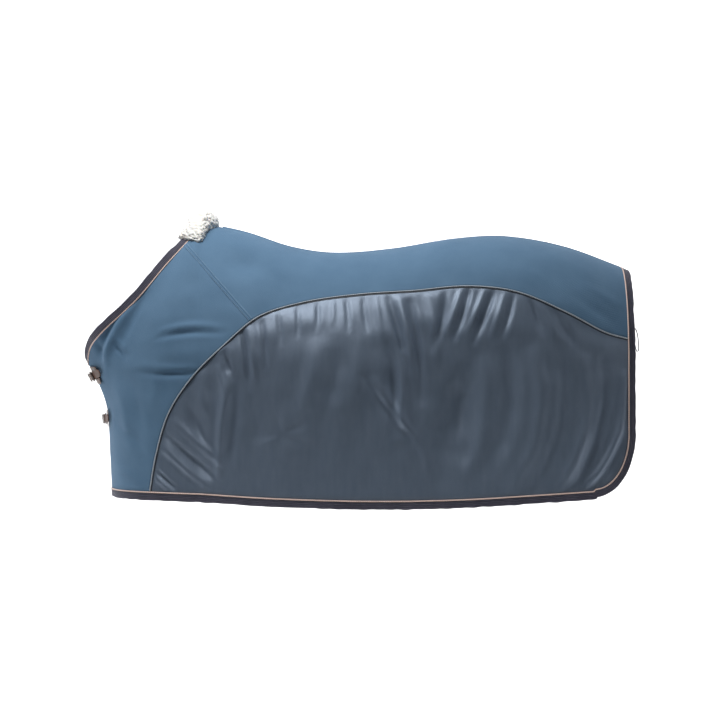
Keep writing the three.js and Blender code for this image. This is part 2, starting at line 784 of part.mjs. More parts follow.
// The topline: a taped seam inside and a corded ridge outside, both clear of the fleece at the withers.
const fleeceReach = 52; // how far the fleece pad reaches back from the neckline
const toplineTapeWidth = 30;
const toplineFrames = trimmed(edges.left.spine, fleeceReach + 18, trimWidth);
add("topline_tape", seamTape(toplineFrames, toplineFrames.map(mirrorFrame), toplineTapeWidth), "binding");
const ridge = toplineFrames.map((f) => ({
  point: vec(f.point.x, 0, f.point.z),
  inward: vec(0, -1, 0),
  outward: vec(f.outward.x, 0, f.outward.z).normalize(),
}));
add("topline_piping", sweep(ridge, roundSection(pipingRadius, 0, pipingLift)), "jersey");

// ---------------------------------------------------------------- fleece pad folded over the neckline
const pile = 17; // thickness of the pad
const pileRoom = tapeWidth / 4; // grows with the binding, which turns away from the pad's smoother line
const pileLift = pipingLift + pipingRadius + pileRoom - 2; // over the piping
const pileUnder = -groove - tape - pileRoom + 2; // under the binding
const fleeceSpread = 5; // stations to each side of the withers
const fleeceSection = [
  [fleeceReach, pileLift + 6],
  [fleeceReach - 8, pileLift + pile + 4],
  [tapeOutside - 6, pileLift + pile],
  [tapeOutside - 5 - pile, pileLift],
  [tapeOutside - 5 - pile, pileUnder],
  [tapeOutside - 6, pileUnder - pile],
  [fleeceReach - 8, pileUnder - pile - 20],
  [fleeceReach, pileUnder - 20],
  [tapeOutside - 5, pileUnder],
  [tapeOutside - 5, pileLift],
];
const withersAt = edges.left.neck.length - 1;
const evened = (frames) =>
  frames.map((f, i) => {
    const near = [frames[Math.max(0, i - 1)], f, f, frames[Math.min(frames.length - 1, i + 1)]];
    const mean = (key) => near.reduce((sum, g) => sum.addScaledVector(g[key], 0.25), vec(0, 0, 0));
    return { point: f.point, inward: mean("inward"), outward: mean("outward").normalize() };
  });
const fleeceRange = [withersAt - fleeceSpread, withersAt + fleeceSpread + 1];
const fleeceFrames = evened(evened(neckFrames)).slice(...fleeceRange);
add("withers_fleece_pad", sweep(fleeceFrames, fleeceSection), "fleece");

// ---------------------------------------------------------------- tail cord loops on the binding
const loopCord = 1.6; // radius
const loopLength = 78;
const loopWidth = 15;
const loopDrop = 226; // below the cut edge of the croup, along the tail edge
for (const [name, , placed] of bothSides) {
  const tail = edges[name].hem;
  const centre = tail.findLast((f) => f.point.z < topline(tailX) - loopDrop);
  const upward = vec(0, 0, 1).addScaledVector(centre.outward, -centre.outward.z).normalize();
  const aside = centre.inward.clone().normalize();
  const lift = groove + tape + touch + loopCord;
  const ring = Array.from({ length: 12 }, (_, i) => {
    const a = (2 * Math.PI * i) / 12;
    return centre.point
      .clone()
      .addScaledVector(aside, tapeOutside + (loopWidth / 2) * Math.cos(a))
      .addScaledVector(upward, (loopLength / 2) * Math.sin(a))
      .addScaledVector(centre.outward, lift);
  });
  const curve = new THREE.CatmullRomCurve3(ring, true);
  add(`tail_cord_loop_${name}`, placed(new THREE.TubeGeometry(curve, 24, loopCord, 6, true)), "binding");
}

// ---------------------------------------------------------------- chest straps
// A point of the chest at a distance y to the right of the centre line and a height z.
function chestPoint(y, z) {
  const along = solve((a) => -form(a, downAt(a, z)).y, Math.abs(y), centreX, withersX);
  const p = form(along, downAt(along, z));
  return vec(p.x, y, p.z);
}

// Flat axes on the chest: across to the right, down the cloth, and out to the front.
function chestAxes(y, z) {
  const across = chestPoint(y + 10, z).sub(chestPoint(y - 10, z)).normalize();
  const lower = chestPoint(y, z - strapWidth / 2).sub(chestPoint(y, z + strapWidth / 2));
  const out = across.clone().cross(lower).normalize();
  return { across, down: out.clone().cross(across), out, origin: chestPoint(y, z) };
}

// A leather patch sewn on a chest flap, from y0 to y1, laid on the cloth.
function chestPatch(y0, y1, z, lift) {
  const columns = 4;
  const rows = 4;
  const at = (i, j) => chestPoint(mix(y0, y1, i / columns), z + patchHeight * (0.5 - j / rows));
  const row = (j) => Array.from({ length: columns + 1 }, (_, i) => at(i, j));
  const grid = Array.from({ length: rows + 1 }, (_, j) => row(j));
  const axes = chestAxes((y0 + y1) / 2, z);
  const normal = grid.map((row) => row.map(() => axes.out));
  const point = grid.map((row) => row.map((p) => p.clone().addScaledVector(axes.out, lift + leather / 2)));
  return panelGeometry({ point, normal, rows: rows + 1, columns: columns + 1 }, leather);
}

const profile = (points) => new THREE.Shape(points.map(([s, n]) => new THREE.Vector2(s, n)));
// A shape drawn across and out, extruded to a width along the up axis, centred.
function leatherWork(shape, width) {
  const made = new THREE.ExtrudeGeometry(shape, { depth: width, bevelEnabled: false, curveSegments: 8 });
  return made.rotateX(Math.PI / 2).translate(0, width / 2, 0);
}

const barRadius = 1.75;
const barGap = 0.4;
const chapeLeather = 1.5;
const rollerRadius = 3.2;
const prongRadius = 1.3;
const buckleReach = 13; // from the buckle's middle to its heel bar and to its roller bar
const buckleHalfWidth = strapWidth / 2 + barRadius + 2.5;
const flapOutside = flapStep + jersey / 2; // outer face of the left flap over the body form
const patchOutside = flapOutside + touch + leather;
const heelHeight = patchOutside + touch + chapeLeather + barGap + barRadius;
const billetHeel = heelHeight + barRadius + barGap + 2 * prongRadius + touch + billetThickness / 2;
const keeperRoom = 9; // inside height of the keeper
const keeperLift = 3.5; // the keeper's base over the patch
const billetRoller = billetHeel - 3;
const rollerHeight = billetRoller + billetThickness / 2 + touch + rollerRadius;

const eyeRadius = barRadius + barGap + 2 * prongRadius;
const chapeLength = 20;
function chapeGeometry() {
  const outer = barRadius + barGap + chapeLeather;
  const shape = new THREE.Shape();
  shape.moveTo(-buckleReach - chapeLength, heelHeight - outer);
  shape.lineTo(-buckleReach, heelHeight - outer);
  shape.absarc(-buckleReach, heelHeight, outer, -Math.PI / 2, Math.PI / 2, false);
  shape.lineTo(-buckleReach - 12, heelHeight - outer + 2 * chapeLeather);
  shape.lineTo(-buckleReach - chapeLength, heelHeight - outer + 2 * chapeLeather);
  const bore = new THREE.Path();
  bore.absarc(-buckleReach, heelHeight, barRadius + barGap, 0, 2 * Math.PI, true);
  shape.holes.push(bore);
  const slot = new THREE.BoxGeometry(2 * (eyeRadius + touch), 3 * prongRadius + 2 * touch, 4 * outer);
  slot.translate(-buckleReach, 0, heelHeight);
  return cut(leatherWork(shape, strapWidth), slot);
}

// The billet comes from the right flap, goes under the roller and over the heel bar, and ends in a point.
const billetTip = -98;
const billetRoot = 128;
const keeperAt = -49;
const keeperLength = 10;
const keeperLeather = 1.5;
const billetRun = (sag) => {
  const laid = (s, n) => [s, n + sag(s)];
  const onRight = 5 - flapStep + jersey / 2 + leather + touch + billetThickness / 2;
  const overBinding = flapOutside + bindingEase + tape + touch + billetThickness / 2 + 1;
  return [
    laid(billetTip, patchOutside + 3),
    laid(keeperAt - 20, patchOutside + 6),
    laid(keeperAt, patchOutside + keeperLift + keeperLeather + keeperRoom / 2),
    [-buckleReach - 15, billetHeel - 2],
    [-buckleReach, billetHeel],
    [buckleReach, billetRoller],
    laid(32, overBinding + 4),
    laid(58, overBinding + 6),
    laid(98, onRight),
    laid(billetRoot, onRight),
  ];
};
const holeRadius = 2.2; // punched holes of the billet
function billetGeometry(sag) {
  const runPoints = billetRun(sag).map(([s, n]) => vec(s, 0, n));
  const run = new THREE.CatmullRomCurve3(runPoints, false, "centripetal");
  const line = run.getSpacedPoints(30);
  const side = (sign) =>
    line.map((p, i) => {
      const t = line[Math.min(30, i + 1)].clone().sub(line[Math.max(0, i - 1)]).normalize();
      return [p.x - (sign * t.z * billetThickness) / 2, p.z + (sign * t.x * billetThickness) / 2];
    });
  const strap = leatherWork(profile([...side(1), ...side(-1).reverse()]), strapWidth);
  const through = 60;
  const slot = new THREE.BoxGeometry(24, 4 * prongRadius, through).translate(-5.5, 0, heelHeight);
  const punch = new THREE.CylinderGeometry(holeRadius, holeRadius, through, 10).rotateX(Math.PI / 2);
  const hole = (s) => punch.clone().translate(s, 0, 0);
  const corner = (sign) => {
    const wedge = new THREE.BoxGeometry(strapWidth, strapWidth, through);
    return wedge.rotateZ(Math.PI / 4).translate(billetTip - 2, sign * (strapWidth / 2 + 7), 10);
  };
  return cut(strap, slot, hole(-34), hole(40), hole(65), corner(1), corner(-1));
}

function buckleFrameGeometry() {
  const bar = (from, to) => {
    const length = from.distanceTo(to);
    const made = new THREE.CylinderGeometry(barRadius, barRadius, length, 10).translate(0, length / 2, 0);
    const direction = to.clone().sub(from).normalize();
    made.applyQuaternion(new THREE.Quaternion().setFromUnitVectors(vec(0, 1, 0), direction));
    return made.translate(from.x, from.y, from.z);
  };
  const corners = [
    vec(-buckleReach, -buckleHalfWidth, heelHeight),
    vec(buckleReach, -buckleHalfWidth, rollerHeight),
    vec(buckleReach, buckleHalfWidth, rollerHeight),
    vec(-buckleReach, buckleHalfWidth, heelHeight),
  ];
  const knuckle = (p) => new THREE.SphereGeometry(barRadius * 1.06, 10, 8).translate(p.x, p.y, p.z);
  return joined(...corners.map((p, i) => bar(p, corners[(i + 1) % 4])), ...corners.map(knuckle));
}

// A plain ring about the up axis through its own centre.
function ringGeometry(inner, outer, width) {
  const half = width / 2;
  const section = [
    [inner, -half],
    [outer, -half],
    [outer, half],
    [inner, half],
    [inner, -half],
  ].map(([x, y]) => new THREE.Vector2(x, y));
  return new THREE.LatheGeometry(section, 16);
}

function prongGeometry() {
  const eye = ringGeometry(barRadius + barGap, eyeRadius, 3 * prongRadius);
  const toRoller = Math.hypot(rollerHeight - heelHeight, 2 * buckleReach);
  const overRoller = Math.asin((rollerRadius + prongRadius + barGap) / toRoller);
  const tilt = Math.atan2(rollerHeight - heelHeight, 2 * buckleReach) + overRoller;
  const length = toRoller + 5;
  const start = barRadius + barGap + prongRadius;
  const shaft = new THREE.CylinderGeometry(prongRadius * 0.85, prongRadius, length - start, 8);
  shaft.rotateZ(-Math.PI / 2).translate((length + start) / 2, 0, 0).rotateY(-tilt);
  return joined(eye, shaft);
}

function keeperGeometry(sag) {
  const inside = [strapWidth / 2 + 1, keeperRoom];
  const outline = (grow) => [
    [-inside[0] - grow, keeperLeather - grow],
    [inside[0] + grow, keeperLeather - grow],
    [inside[0] + grow, keeperLeather + inside[1] + grow],
    [-inside[0] - grow, keeperLeather + inside[1] + grow],
  ];
  const shape = profile(outline(keeperLeather));
  shape.holes.push(profile(outline(0)));
  const made = new THREE.ExtrudeGeometry(shape, { depth: keeperLength, bevelEnabled: false });
  made.rotateX(Math.PI / 2).rotateZ(Math.PI / 2);
  return made.translate(keeperAt - keeperLength / 2, 0, patchOutside + keeperLift + sag(keeperAt));
}

const buckleY = -8; // the buckle's middle, from the centre line
const farPatchStart = 84; // the right flap's patch starts this far from the buckle
const neckFront = neckShape.at(-1);
for (const [level, name] of ["upper", "lower"].entries()) {
  const z = neckFront.z - upperBuckleDrop - level * buckleSpacing;
  const axes = chestAxes(buckleY, z);
  const set = new THREE.Group();
  set.matrixAutoUpdate = false;
  set.matrix.makeBasis(axes.across, axes.down, axes.out).setPosition(axes.origin);
  rug.add(set);
  // How far the chest curves away behind the flat axes of the buckle.
  const sag = (s) => chestPoint(buckleY + s * axes.across.y, z).sub(axes.origin).dot(axes.out);
  const patchStart = buckleY - buckleReach + 2;
  const patchEnd = buckleY + keeperAt - keeperLength - 6;
  add(`left_chest_patch_${name}`, chestPatch(patchStart, patchEnd, z, flapOutside + touch), "leather");
  const rightLift = -flapStep + jersey / 2 + 2 * touch;
  const farPatch = chestPatch(buckleY + farPatchStart, buckleY + billetRoot + 6, z, rightLift);
  add(`right_chest_patch_${name}`, farPatch, "leather");
  add(`buckle_chape_${name}`, chapeGeometry(), "leather", set);
  add(`billet_${name}`, billetGeometry(sag), "leather", set);
  add(`billet_keeper_${name}`, keeperGeometry(sag), "leather", set);
  add(`buckle_frame_${name}`, buckleFrameGeometry(), "metal", set);
  const rollerShape = ringGeometry(barRadius + barGap, rollerRadius, strapWidth);
  const roller = add(`buckle_roller_${name}`, rollerShape, "metal", set);
  roller.position.set(buckleReach, 0, rollerHeight);
  const prong = add(`buckle_prong_${name}`, prongGeometry(), "metal", set);
  prong.position.set(-buckleReach, 0, heelHeight);
}

// ---------------------------------------------------------------- crossed surcingles under the belly
// Flat axes on the left side: along the horse, down the cloth, and in towards the horse.
function sideAxes(x, z) {
  const at = (dx, dz) => form(x + dx, downAt(x + dx, z + dz));
  const along = at(30, 0).sub(at(-30, 0)).normalize();
  const inward = along.clone().cross(at(0, -30).sub(at(0, 30))).normalize();
  return { along, down: inward.clone().cross(along), inward, origin: at(0, 0) };
}
function box([x0, x1], [y0, y1], [z0, z1]) {
  const made = new THREE.BoxGeometry(x1 - x0, y1 - y0, z1 - z0);
  return made.translate((x0 + x1) / 2, (y0 + y1) / 2, (z0 + z1) / 2);
}
// A shape drawn down and inwards, extruded across to a width, centred.
function webWork(outline, hole, width) {
  const turnedOver = (points) => points.map(([down, inward]) => [inward, down]).toReversed();
  const shape = profile(turnedOver(outline));
  shape.holes.push(profile(turnedOver(hole)));
  const made = new THREE.ExtrudeGeometry(shape, { depth: width, bevelEnabled: false });
  return made.rotateY(-Math.PI / 2).translate(width / 2, 0, 0);
}

const metalPlate = 2.5;
const play = 0.6; // between a strap or a hook and the slot that it goes through
const patchIn = mesh / 2 + touch + 1.5; // from the mesh panel's middle to the patch
const tabIn = patchIn + webbing + touch;
const plateIn = tabIn + webbing + 0.5;
const plateTop = 50; // below the middle of the patch
const plateBar = 4;
const tabSlot = 5;
const hookSlot = 8;
const plateHeight = 3 * plateBar + tabSlot + hookSlot + 3;
const plateWidth = surcingleWidth + 10;
const hookY = plateTop + 2 * plateBar + tabSlot + hookSlot / 2;
const hookIn = plateIn + metalPlate + 1.7;
const hookBody = [hookY + 18, hookY + 40];
const strapSlot = [hookBody[1] - 9, hookBody[1] - 4];
const barY = (strapSlot[1] + hookBody[1]) / 2; // the hook's lower bar, which the strap turns round
const barIn = hookIn + metalPlate / 2;
const turnRadius = 3.5;
const slideY = barY + 38;
const slideLength = 12;
const slideRun = 28; // the strap stays straight this far below the slide

function tabGeometry() {
  const [top, low] = [plateTop - play, plateTop + plateBar + play];
  const [near, far] = [plateIn - play, plateIn + metalPlate + play];
  const outline = [
    [-18, near - webbing],
    [low + webbing, near - webbing],
    [low + webbing, far + webbing],
    [top - 2, far + webbing],
    [top - 9, near + 1],
    [-18, near + 0.2],
  ];
  const hole = [
    [top, near],
    [low, near],
    [low, far],
    [top, far],
  ];
  return webWork(outline, hole, surcingleWidth);
}
function slotPlateGeometry() {
  const [w, z] = [plateWidth / 2, [plateIn, plateIn + metalPlate]];
  const plate = box([-w, w], [plateTop, plateTop + plateHeight], z);
  const through = [plateIn - 5, plateIn + 10];
  const upper = box([-w + 4, w - 4], [plateTop + plateBar, plateTop + plateBar + tabSlot], through);
  const lower = box([-w + 7, w - 7], [hookY - hookSlot / 2, hookY + hookSlot / 2], through);
  return cut(plate, upper, lower);
}
function hookGeometry() {
  const w = plateWidth / 2;
  const headIn = plateIn - 1.5 - metalPlate;
  const head = box([-w + 4.5, w - 4.5], [-2, 2], [headIn, headIn + metalPlate]);
  const neck = box([-6, 6], [-2, 2], [headIn + 1, hookIn + metalPlate]);
  const stem = box([-6, 6], [-2, 20], [hookIn, hookIn + metalPlate]);
  const body = box([-w, w], [hookBody[0] - hookY, hookBody[1] - hookY], [hookIn, hookIn + metalPlate]);
  const slotHeight = [strapSlot[0] - hookY, strapSlot[1] - hookY];
  const slot = box([-w + 4, w - 4], slotHeight, [hookIn - 5, hookIn + 10]);
  return cut(joined(head, neck, stem, body), slot);
}
function slideGeometry() {
  const w = surcingleWidth / 2 + 2 * play;
  const t = webbing / 2 + 2 * play;
  const wall = 2;
  const outer = box([-w - wall, w + wall], [-slideLength / 2, slideLength / 2], [-t - wall, t + wall]);
  return cut(outer, box([-w, w], [-slideLength, slideLength], [-t, t]));
}

const bellyZ = -sideDrop + 8; // the surcingles cross just above the hem's level
const attachments = { front: surcingleFront, rear: surcingleFront + surcingleSpread };
function placeOn({ origin, along, down, inward }, [x, y, z]) {
  return origin.clone().addScaledVector(along, x).addScaledVector(down, y).addScaledVector(inward, z);
}

// One surcingle: looped through the left hook, under the belly and up to its patch on the right.
function surcingleGeometry(leftX, rightX, level) {
  const leftAxes = sideAxes(leftX, surcingleHeight);
  const rightAxes = sideAxes(rightX, surcingleHeight);
  const turnSteps = 6;
  const roundBar = Array.from({ length: turnSteps + 1 }, (_, i) => {
    const a = (Math.PI * i) / turnSteps;
    return [-turnRadius * Math.sin(a), -turnRadius * Math.cos(a)];
  });
  const straight = slideY - barY + slideRun;
  const inner = [[8, turnRadius], [slideY - barY, turnRadius], [straight, turnRadius]];
  const looped = [[24, -turnRadius], [8, -turnRadius], ...roundBar, ...inner];
  const loopRun = looped.map(([y, z]) => placeOn(leftAxes, [0, barY + y, barIn + z]));
  const from = placeOn(leftAxes, [0, barY + straight + 24, barIn + turnRadius]);
  const rightRun = [-20, 25, 70, 110, 150].map((y) =>
    mirrorVector(placeOn(rightAxes, [0, y, tabIn + webbing / 2 + (y > 25 ? 5 : 2)])),
  );
  const to = rightRun.at(-1);
  const under = [0.18, 0.36, 0.5, 0.64, 0.82].map((t) =>
    vec(mix(from.x, to.x, t), mix(from.y, to.y, t), mix(from.z, level, Math.sin(Math.PI * t) ** 0.7)),
  );
  const curve = new THREE.CatmullRomCurve3([from, ...under, ...rightRun.reverse()], false, "centripetal");
  const line = [...loopRun, ...curve.getSpacedPoints(26)];
  const frames = line.map((point, i) => {
    const t = line[Math.min(line.length - 1, i + 1)].clone().sub(line[Math.max(0, i - 1)]).normalize();
    const across = Math.min(1, Math.max(0, (point.y - from.y) / (to.y - from.y)));
    const wide = leftAxes.along.clone().lerp(mirrorVector(rightAxes.along), across);
    wide.addScaledVector(t, -t.dot(wide)).normalize();
    return { point, inward: wide, outward: t.clone().cross(wide).normalize() };
  });
  const [w, h] = [surcingleWidth / 2, webbing / 2];
  return sweep(frames, boxSection(-w, w, -h, h));
}

for (const [place, x] of Object.entries(attachments)) {
  const axes = sideAxes(x, surcingleHeight);
  const opposite = place === "front" ? attachments.rear : attachments.front;
  const half = surcinglePatch / 2;
  const patchShape = box([-half, half], [-half, half], [patchIn, patchIn + webbing]);
  const basis = new THREE.Matrix4().makeBasis(axes.along, axes.down, axes.inward).setPosition(axes.origin);
  add(`surcingle_patch_${place}_left`, patchShape.clone().applyMatrix4(basis), "webbing");
  add(`surcingle_patch_${place}_right`, mirrored(patchShape.clone().applyMatrix4(basis)), "webbing");
  const set = new THREE.Group();
  set.matrixAutoUpdate = false;
  set.matrix.copy(basis);
  rug.add(set);
  add(`surcingle_tab_${place}`, tabGeometry(), "webbing", set);
  add(`surcingle_slot_plate_${place}`, slotPlateGeometry(), "metal", set);
  const hook = add(`surcingle_hook_${place}`, hookGeometry(), "metal", set);
  hook.position.set(0, hookY, 0);
  const slide = add(`surcingle_slide_${place}`, slideGeometry(), "metal", set);
  slide.position.set(0, slideY, barIn + turnRadius);
  const level = bellyZ + (place === "rear" ? 8 : 0);
  add(`surcingle_${place}`, surcingleGeometry(x, opposite, level), "webbing");
}

export default rug;
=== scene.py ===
import json
import math

import bmesh
import bpy
import numpy as np
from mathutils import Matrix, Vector, noise

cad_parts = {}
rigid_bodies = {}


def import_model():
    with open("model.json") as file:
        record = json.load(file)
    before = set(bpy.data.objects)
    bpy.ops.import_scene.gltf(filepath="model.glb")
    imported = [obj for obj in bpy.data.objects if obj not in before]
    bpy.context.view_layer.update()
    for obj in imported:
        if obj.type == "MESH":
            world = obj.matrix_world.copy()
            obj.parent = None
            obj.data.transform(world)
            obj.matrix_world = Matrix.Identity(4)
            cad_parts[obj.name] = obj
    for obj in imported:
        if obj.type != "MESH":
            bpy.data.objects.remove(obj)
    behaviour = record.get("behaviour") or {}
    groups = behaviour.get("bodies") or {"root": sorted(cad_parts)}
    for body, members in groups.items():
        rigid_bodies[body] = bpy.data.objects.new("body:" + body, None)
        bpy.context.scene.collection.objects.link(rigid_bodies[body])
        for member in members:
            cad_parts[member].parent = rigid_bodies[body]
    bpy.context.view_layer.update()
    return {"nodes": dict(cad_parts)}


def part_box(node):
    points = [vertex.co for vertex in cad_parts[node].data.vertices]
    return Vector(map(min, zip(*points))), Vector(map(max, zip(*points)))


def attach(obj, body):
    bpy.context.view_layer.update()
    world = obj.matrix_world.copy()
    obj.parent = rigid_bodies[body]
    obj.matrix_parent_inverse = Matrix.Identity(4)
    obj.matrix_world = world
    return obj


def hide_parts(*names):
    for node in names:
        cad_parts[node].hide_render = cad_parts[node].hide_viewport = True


for leftover in list(bpy.data.objects):
    bpy.data.objects.remove(leftover)
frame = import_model()

# ---------------------------------------------------------------------------
# Studio: a long lens level with the middle of the rug, a near-white sweep, and
# soft lamps from the front left and above, so that the rump falls into shade.
# ---------------------------------------------------------------------------
scene = bpy.context.scene
scene.view_settings.view_transform = "Standard"
scene.view_settings.look = "None"

lens = bpy.data.cameras.new("lens")
lens.lens = 105.3
lens.sensor_width = 36.0
lens.clip_end = 60.0
camera = bpy.data.objects.new("camera", lens)
camera.location = (0.095, -7.0, -0.362)
camera.rotation_euler = (math.radians(90.0), 0.0, 0.0)
scene.collection.objects.link(camera)
scene.camera = camera

sky = bpy.data.worlds.new("studio_air")
sky.use_nodes = True
sky.node_tree.nodes["Background"].inputs["Color"].default_value = (0.93, 0.96, 1.0, 1.0)
sky.node_tree.nodes["Background"].inputs["Strength"].default_value = 0.045
scene.world = sky


def softbox(name, place, aim, size, power, tint):
    lamp = bpy.data.lights.new(name, "AREA")
    lamp.shape = "RECTANGLE"
    lamp.size, lamp.size_y = size
    lamp.energy = power
    lamp.color = tint
    made = bpy.data.objects.new(name, lamp)
    made.location = place
    made.rotation_euler = (Vector(aim) - Vector(place)).to_track_quat("-Z", "Y").to_euler()
    scene.collection.objects.link(made)


softbox("key_lamp", (-0.75, -1.35, 2.4), (-0.2, 0.0, -0.2), (1.3, 0.8), 76, (1.0, 0.985, 0.96))
softbox("front_lamp", (-2.1, -1.15, 2.1), (0.1, -0.3, -0.45), (0.5, 0.5), 17, (0.95, 0.97, 1.0))
softbox("top_lamp", (0.2, -0.3, 3.2), (0.1, 0.0, 0.0), (2.4, 1.0), 24, (0.96, 0.98, 1.0))
softbox("rear_lamp", (3.0, -1.3, 0.5), (0.5, -0.3, -0.5), (0.5, 0.7), 5, (0.92, 0.96, 1.0))

sweep_rows = []
floor_z, wall_y, bend = -1.45, 4.0, 2.0
for step in range(25):
    if step == 0:
        sweep_rows.append((-1.0, floor_z))
    elif step == 24:
        sweep_rows.append((wall_y + bend, 9.0))
    else:
        a = (step - 1) / 22 * math.pi / 2
        sweep_rows.append((wall_y + bend * math.sin(a), floor_z + bend * (1 - math.cos(a))))
backdrop_mesh = bpy.data.meshes.new("studio_sweep")
backdrop_mesh.from_pydata(
    [(x, y, z) for y, z in sweep_rows for x in (-14.0, 14.0)],
    [],
    [(2 * i, 2 * i + 1, 2 * i + 3, 2 * i + 2) for i in range(24)],
)
backdrop_mesh.shade_smooth()
backdrop = bpy.data.objects.new("studio_sweep", backdrop_mesh)
scene.collection.objects.link(backdrop)
paper = bpy.data.materials.new("paper_sweep")
paper.use_nodes = True
paper_face = paper.node_tree.nodes["Principled BSDF"]
paper_face.inputs["Base Color"].default_value = (0.92, 0.92, 0.92, 1.0)
paper_face.inputs["Roughness"].default_value = 0.9
paper_face.inputs["Emission Color"].default_value = (1.0, 1.0, 1.0, 1.0)
paper_face.inputs["Emission Strength"].default_value = 0.95
backdrop_mesh.materials.append(paper)

# ---------------------------------------------------------------------------
# Body form: the shape that the horse's back, barrel and chest give to the cloth.
# Girth lines run from the topline down to the hem; ahead of the withers they fan
# round from the neckline to the middle of the chest. Millimetres, left half.
# ---------------------------------------------------------------------------
MM = 0.001
box_low, box_high = (np.array(corner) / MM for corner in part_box("back_panel_left"))
tail_x = float(box_high[0])
withers_x = -432.0
back_length = tail_x - withers_x
withers_rise, croup_rise, tail_fall = 98.0, 54.0, 50.0
side_drop, half_barrel = 801.0, 305.0
chest_reach, chest_retreat = 374.0, 71.0
neck_width, neck_drop = 324.0, 454.0
turn = 430.0
centre_x = withers_x - turn
overlap = 27.0


def mix(a, b, t):
    return a + (b - a) * t


def ease(t):
    u = np.clip(t, 0.0, 1.0)
    return u * u * (3 - 2 * u)


def through(pairs):
    xs, ys = np.array(pairs, float).T
    slopes = np.empty_like(ys)
    slopes[1:-1] = (ys[2:] - ys[:-2]) / (xs[2:] - xs[:-2])
    slopes[0] = (ys[1] - ys[0]) / (xs[1] - xs[0])
    slopes[-1] = (ys[-1] - ys[-2]) / (xs[-1] - xs[-2])

    def value(x):
        i = np.clip(np.searchsorted(xs, x, side="right") - 1, 0, len(xs) - 2)
        h = xs[i + 1] - xs[i]
        t = np.clip((x - xs[i]) / h, 0, 1)
        level = (2 * t**3 - 3 * t**2 + 1) * ys[i] + (3 * t**2 - 2 * t**3) * ys[i + 1]
        return level + h * ((t**3 - 2 * t**2 + t) * slopes[i] + (t**3 - t**2) * slopes[i + 1])

    return value


def smooth_curve(points, closed, t):
    """Points of a centripetal Catmull-Rom curve at t from 0 to 1."""
    p = np.array(points, float)
    n = len(p)
    at = np.asarray(t, float) * (n if closed else n - 1)
    i = np.floor(at).astype(int)
    if not closed:
        i = np.minimum(i, n - 2)
    w = (at - i)[:, None]
    if closed:
        a, b, c, d = (p[(i + k) % n] for k in (-1, 0, 1, 2))
    else:
        padded = np.vstack([2 * p[0] - p[1], p, 2 * p[-1] - p[-2]])
        a, b, c, d = (padded[i + k] for k in (0, 1, 2, 3))
    gap = [
        np.maximum(np.linalg.norm(v - u, axis=1), 1e-8)[:, None] ** 0.5 for u, v in ((a, b), (b, c), (c, d))
    ]
    t1 = ((b - a) / gap[0] - (c - a) / (gap[0] + gap[1]) + (c - b) / gap[1]) * gap[1]
    t2 = ((c - b) / gap[1] - (d - b) / (gap[1] + gap[2]) + (d - c) / gap[2]) * gap[1]
    return b + t1 * w + (-3 * b + 3 * c - 2 * t1 - t2) * w**2 + (2 * b - 2 * c + t1 + t2) * w**3


def even_points(points, steps):
    """Points spaced evenly along a curve through a few points."""
    fine = smooth_curve(points, False, np.linspace(0, 1, 2001))
    run = np.concatenate([[0], np.cumsum(np.linalg.norm(np.diff(fine, axis=0), axis=1))])
    at = np.linspace(0, run[-1], steps + 1)
    return np.column_stack([np.interp(at, run, fine[:, k]) for k in range(fine.shape[1])])


def station(share):
    return withers_x + share * back_length


topline = through([
    (station(0), withers_rise), (station(0.1), 0.7 * withers_rise), (station(0.21), 0.2 * withers_rise),
    (0, 0), (station(0.45), 0.25 * croup_rise), (station(0.6), 0.86 * croup_rise),
    (station(0.72), croup_rise), (station(0.86), 0.37 * croup_rise), (station(1), -tail_fall),
])
half_width = through([
    (station(0), 0.86 * half_barrel), (station(0.17), 0.957 * half_barrel), (station(0.37), half_barrel),
    (station(0.59), 0.97 * half_barrel), (station(0.76), 0.957 * half_barrel),
    (station(0.89), 0.86 * half_barrel),
    (station(1), 0.672 * half_barrel),
])
arch_depth = through([
    (station(0), 420), (station(0.17), 390), (station(0.37), 370), (station(0.59), 350), (station(0.76), 330),
    (station(1), 330),
])
squareness = through(
    [(station(0), 1.5), (station(0.17), 1.8), (station(0.37), 2.1), (station(0.76), 2.2), (station(1), 2)]
)
hem_height = through([
    (centre_x, 27 - side_drop), (withers_x - 0.3 * turn, 25 - side_drop), (withers_x, 21 - side_drop),
    (station(0.17), 8 - side_drop), (station(0.4), -side_drop), (station(0.6), 4 - side_drop),
    (station(0.79), 19 - side_drop), (station(1), 35 - side_drop),
])
neck_shape = [
    (withers_x - x * chest_reach, -y * neck_width / 2, withers_rise - z * neck_drop)
    for x, y, z in ((0, 0, 0), (0.09, 0.37, 0.09), (0.31, 0.81, 0.3), (0.55, 1, 0.545), (0.88, 0.8, 0.795),
                    (0.98, 0.42, 0.895), (1, 0, 1))
]
neck_loop = neck_shape + [(x, -y, z) for x, y, z in neck_shape[-2:0:-1]]
chest_squareness, chest_depth = 2.4, 560.0
chest_front_x = withers_x - chest_reach + chest_retreat
hem_flare = 1.015

girth_at = np.arange(centre_x, tail_x + 2.4, 2.5)
girth_samples = 128


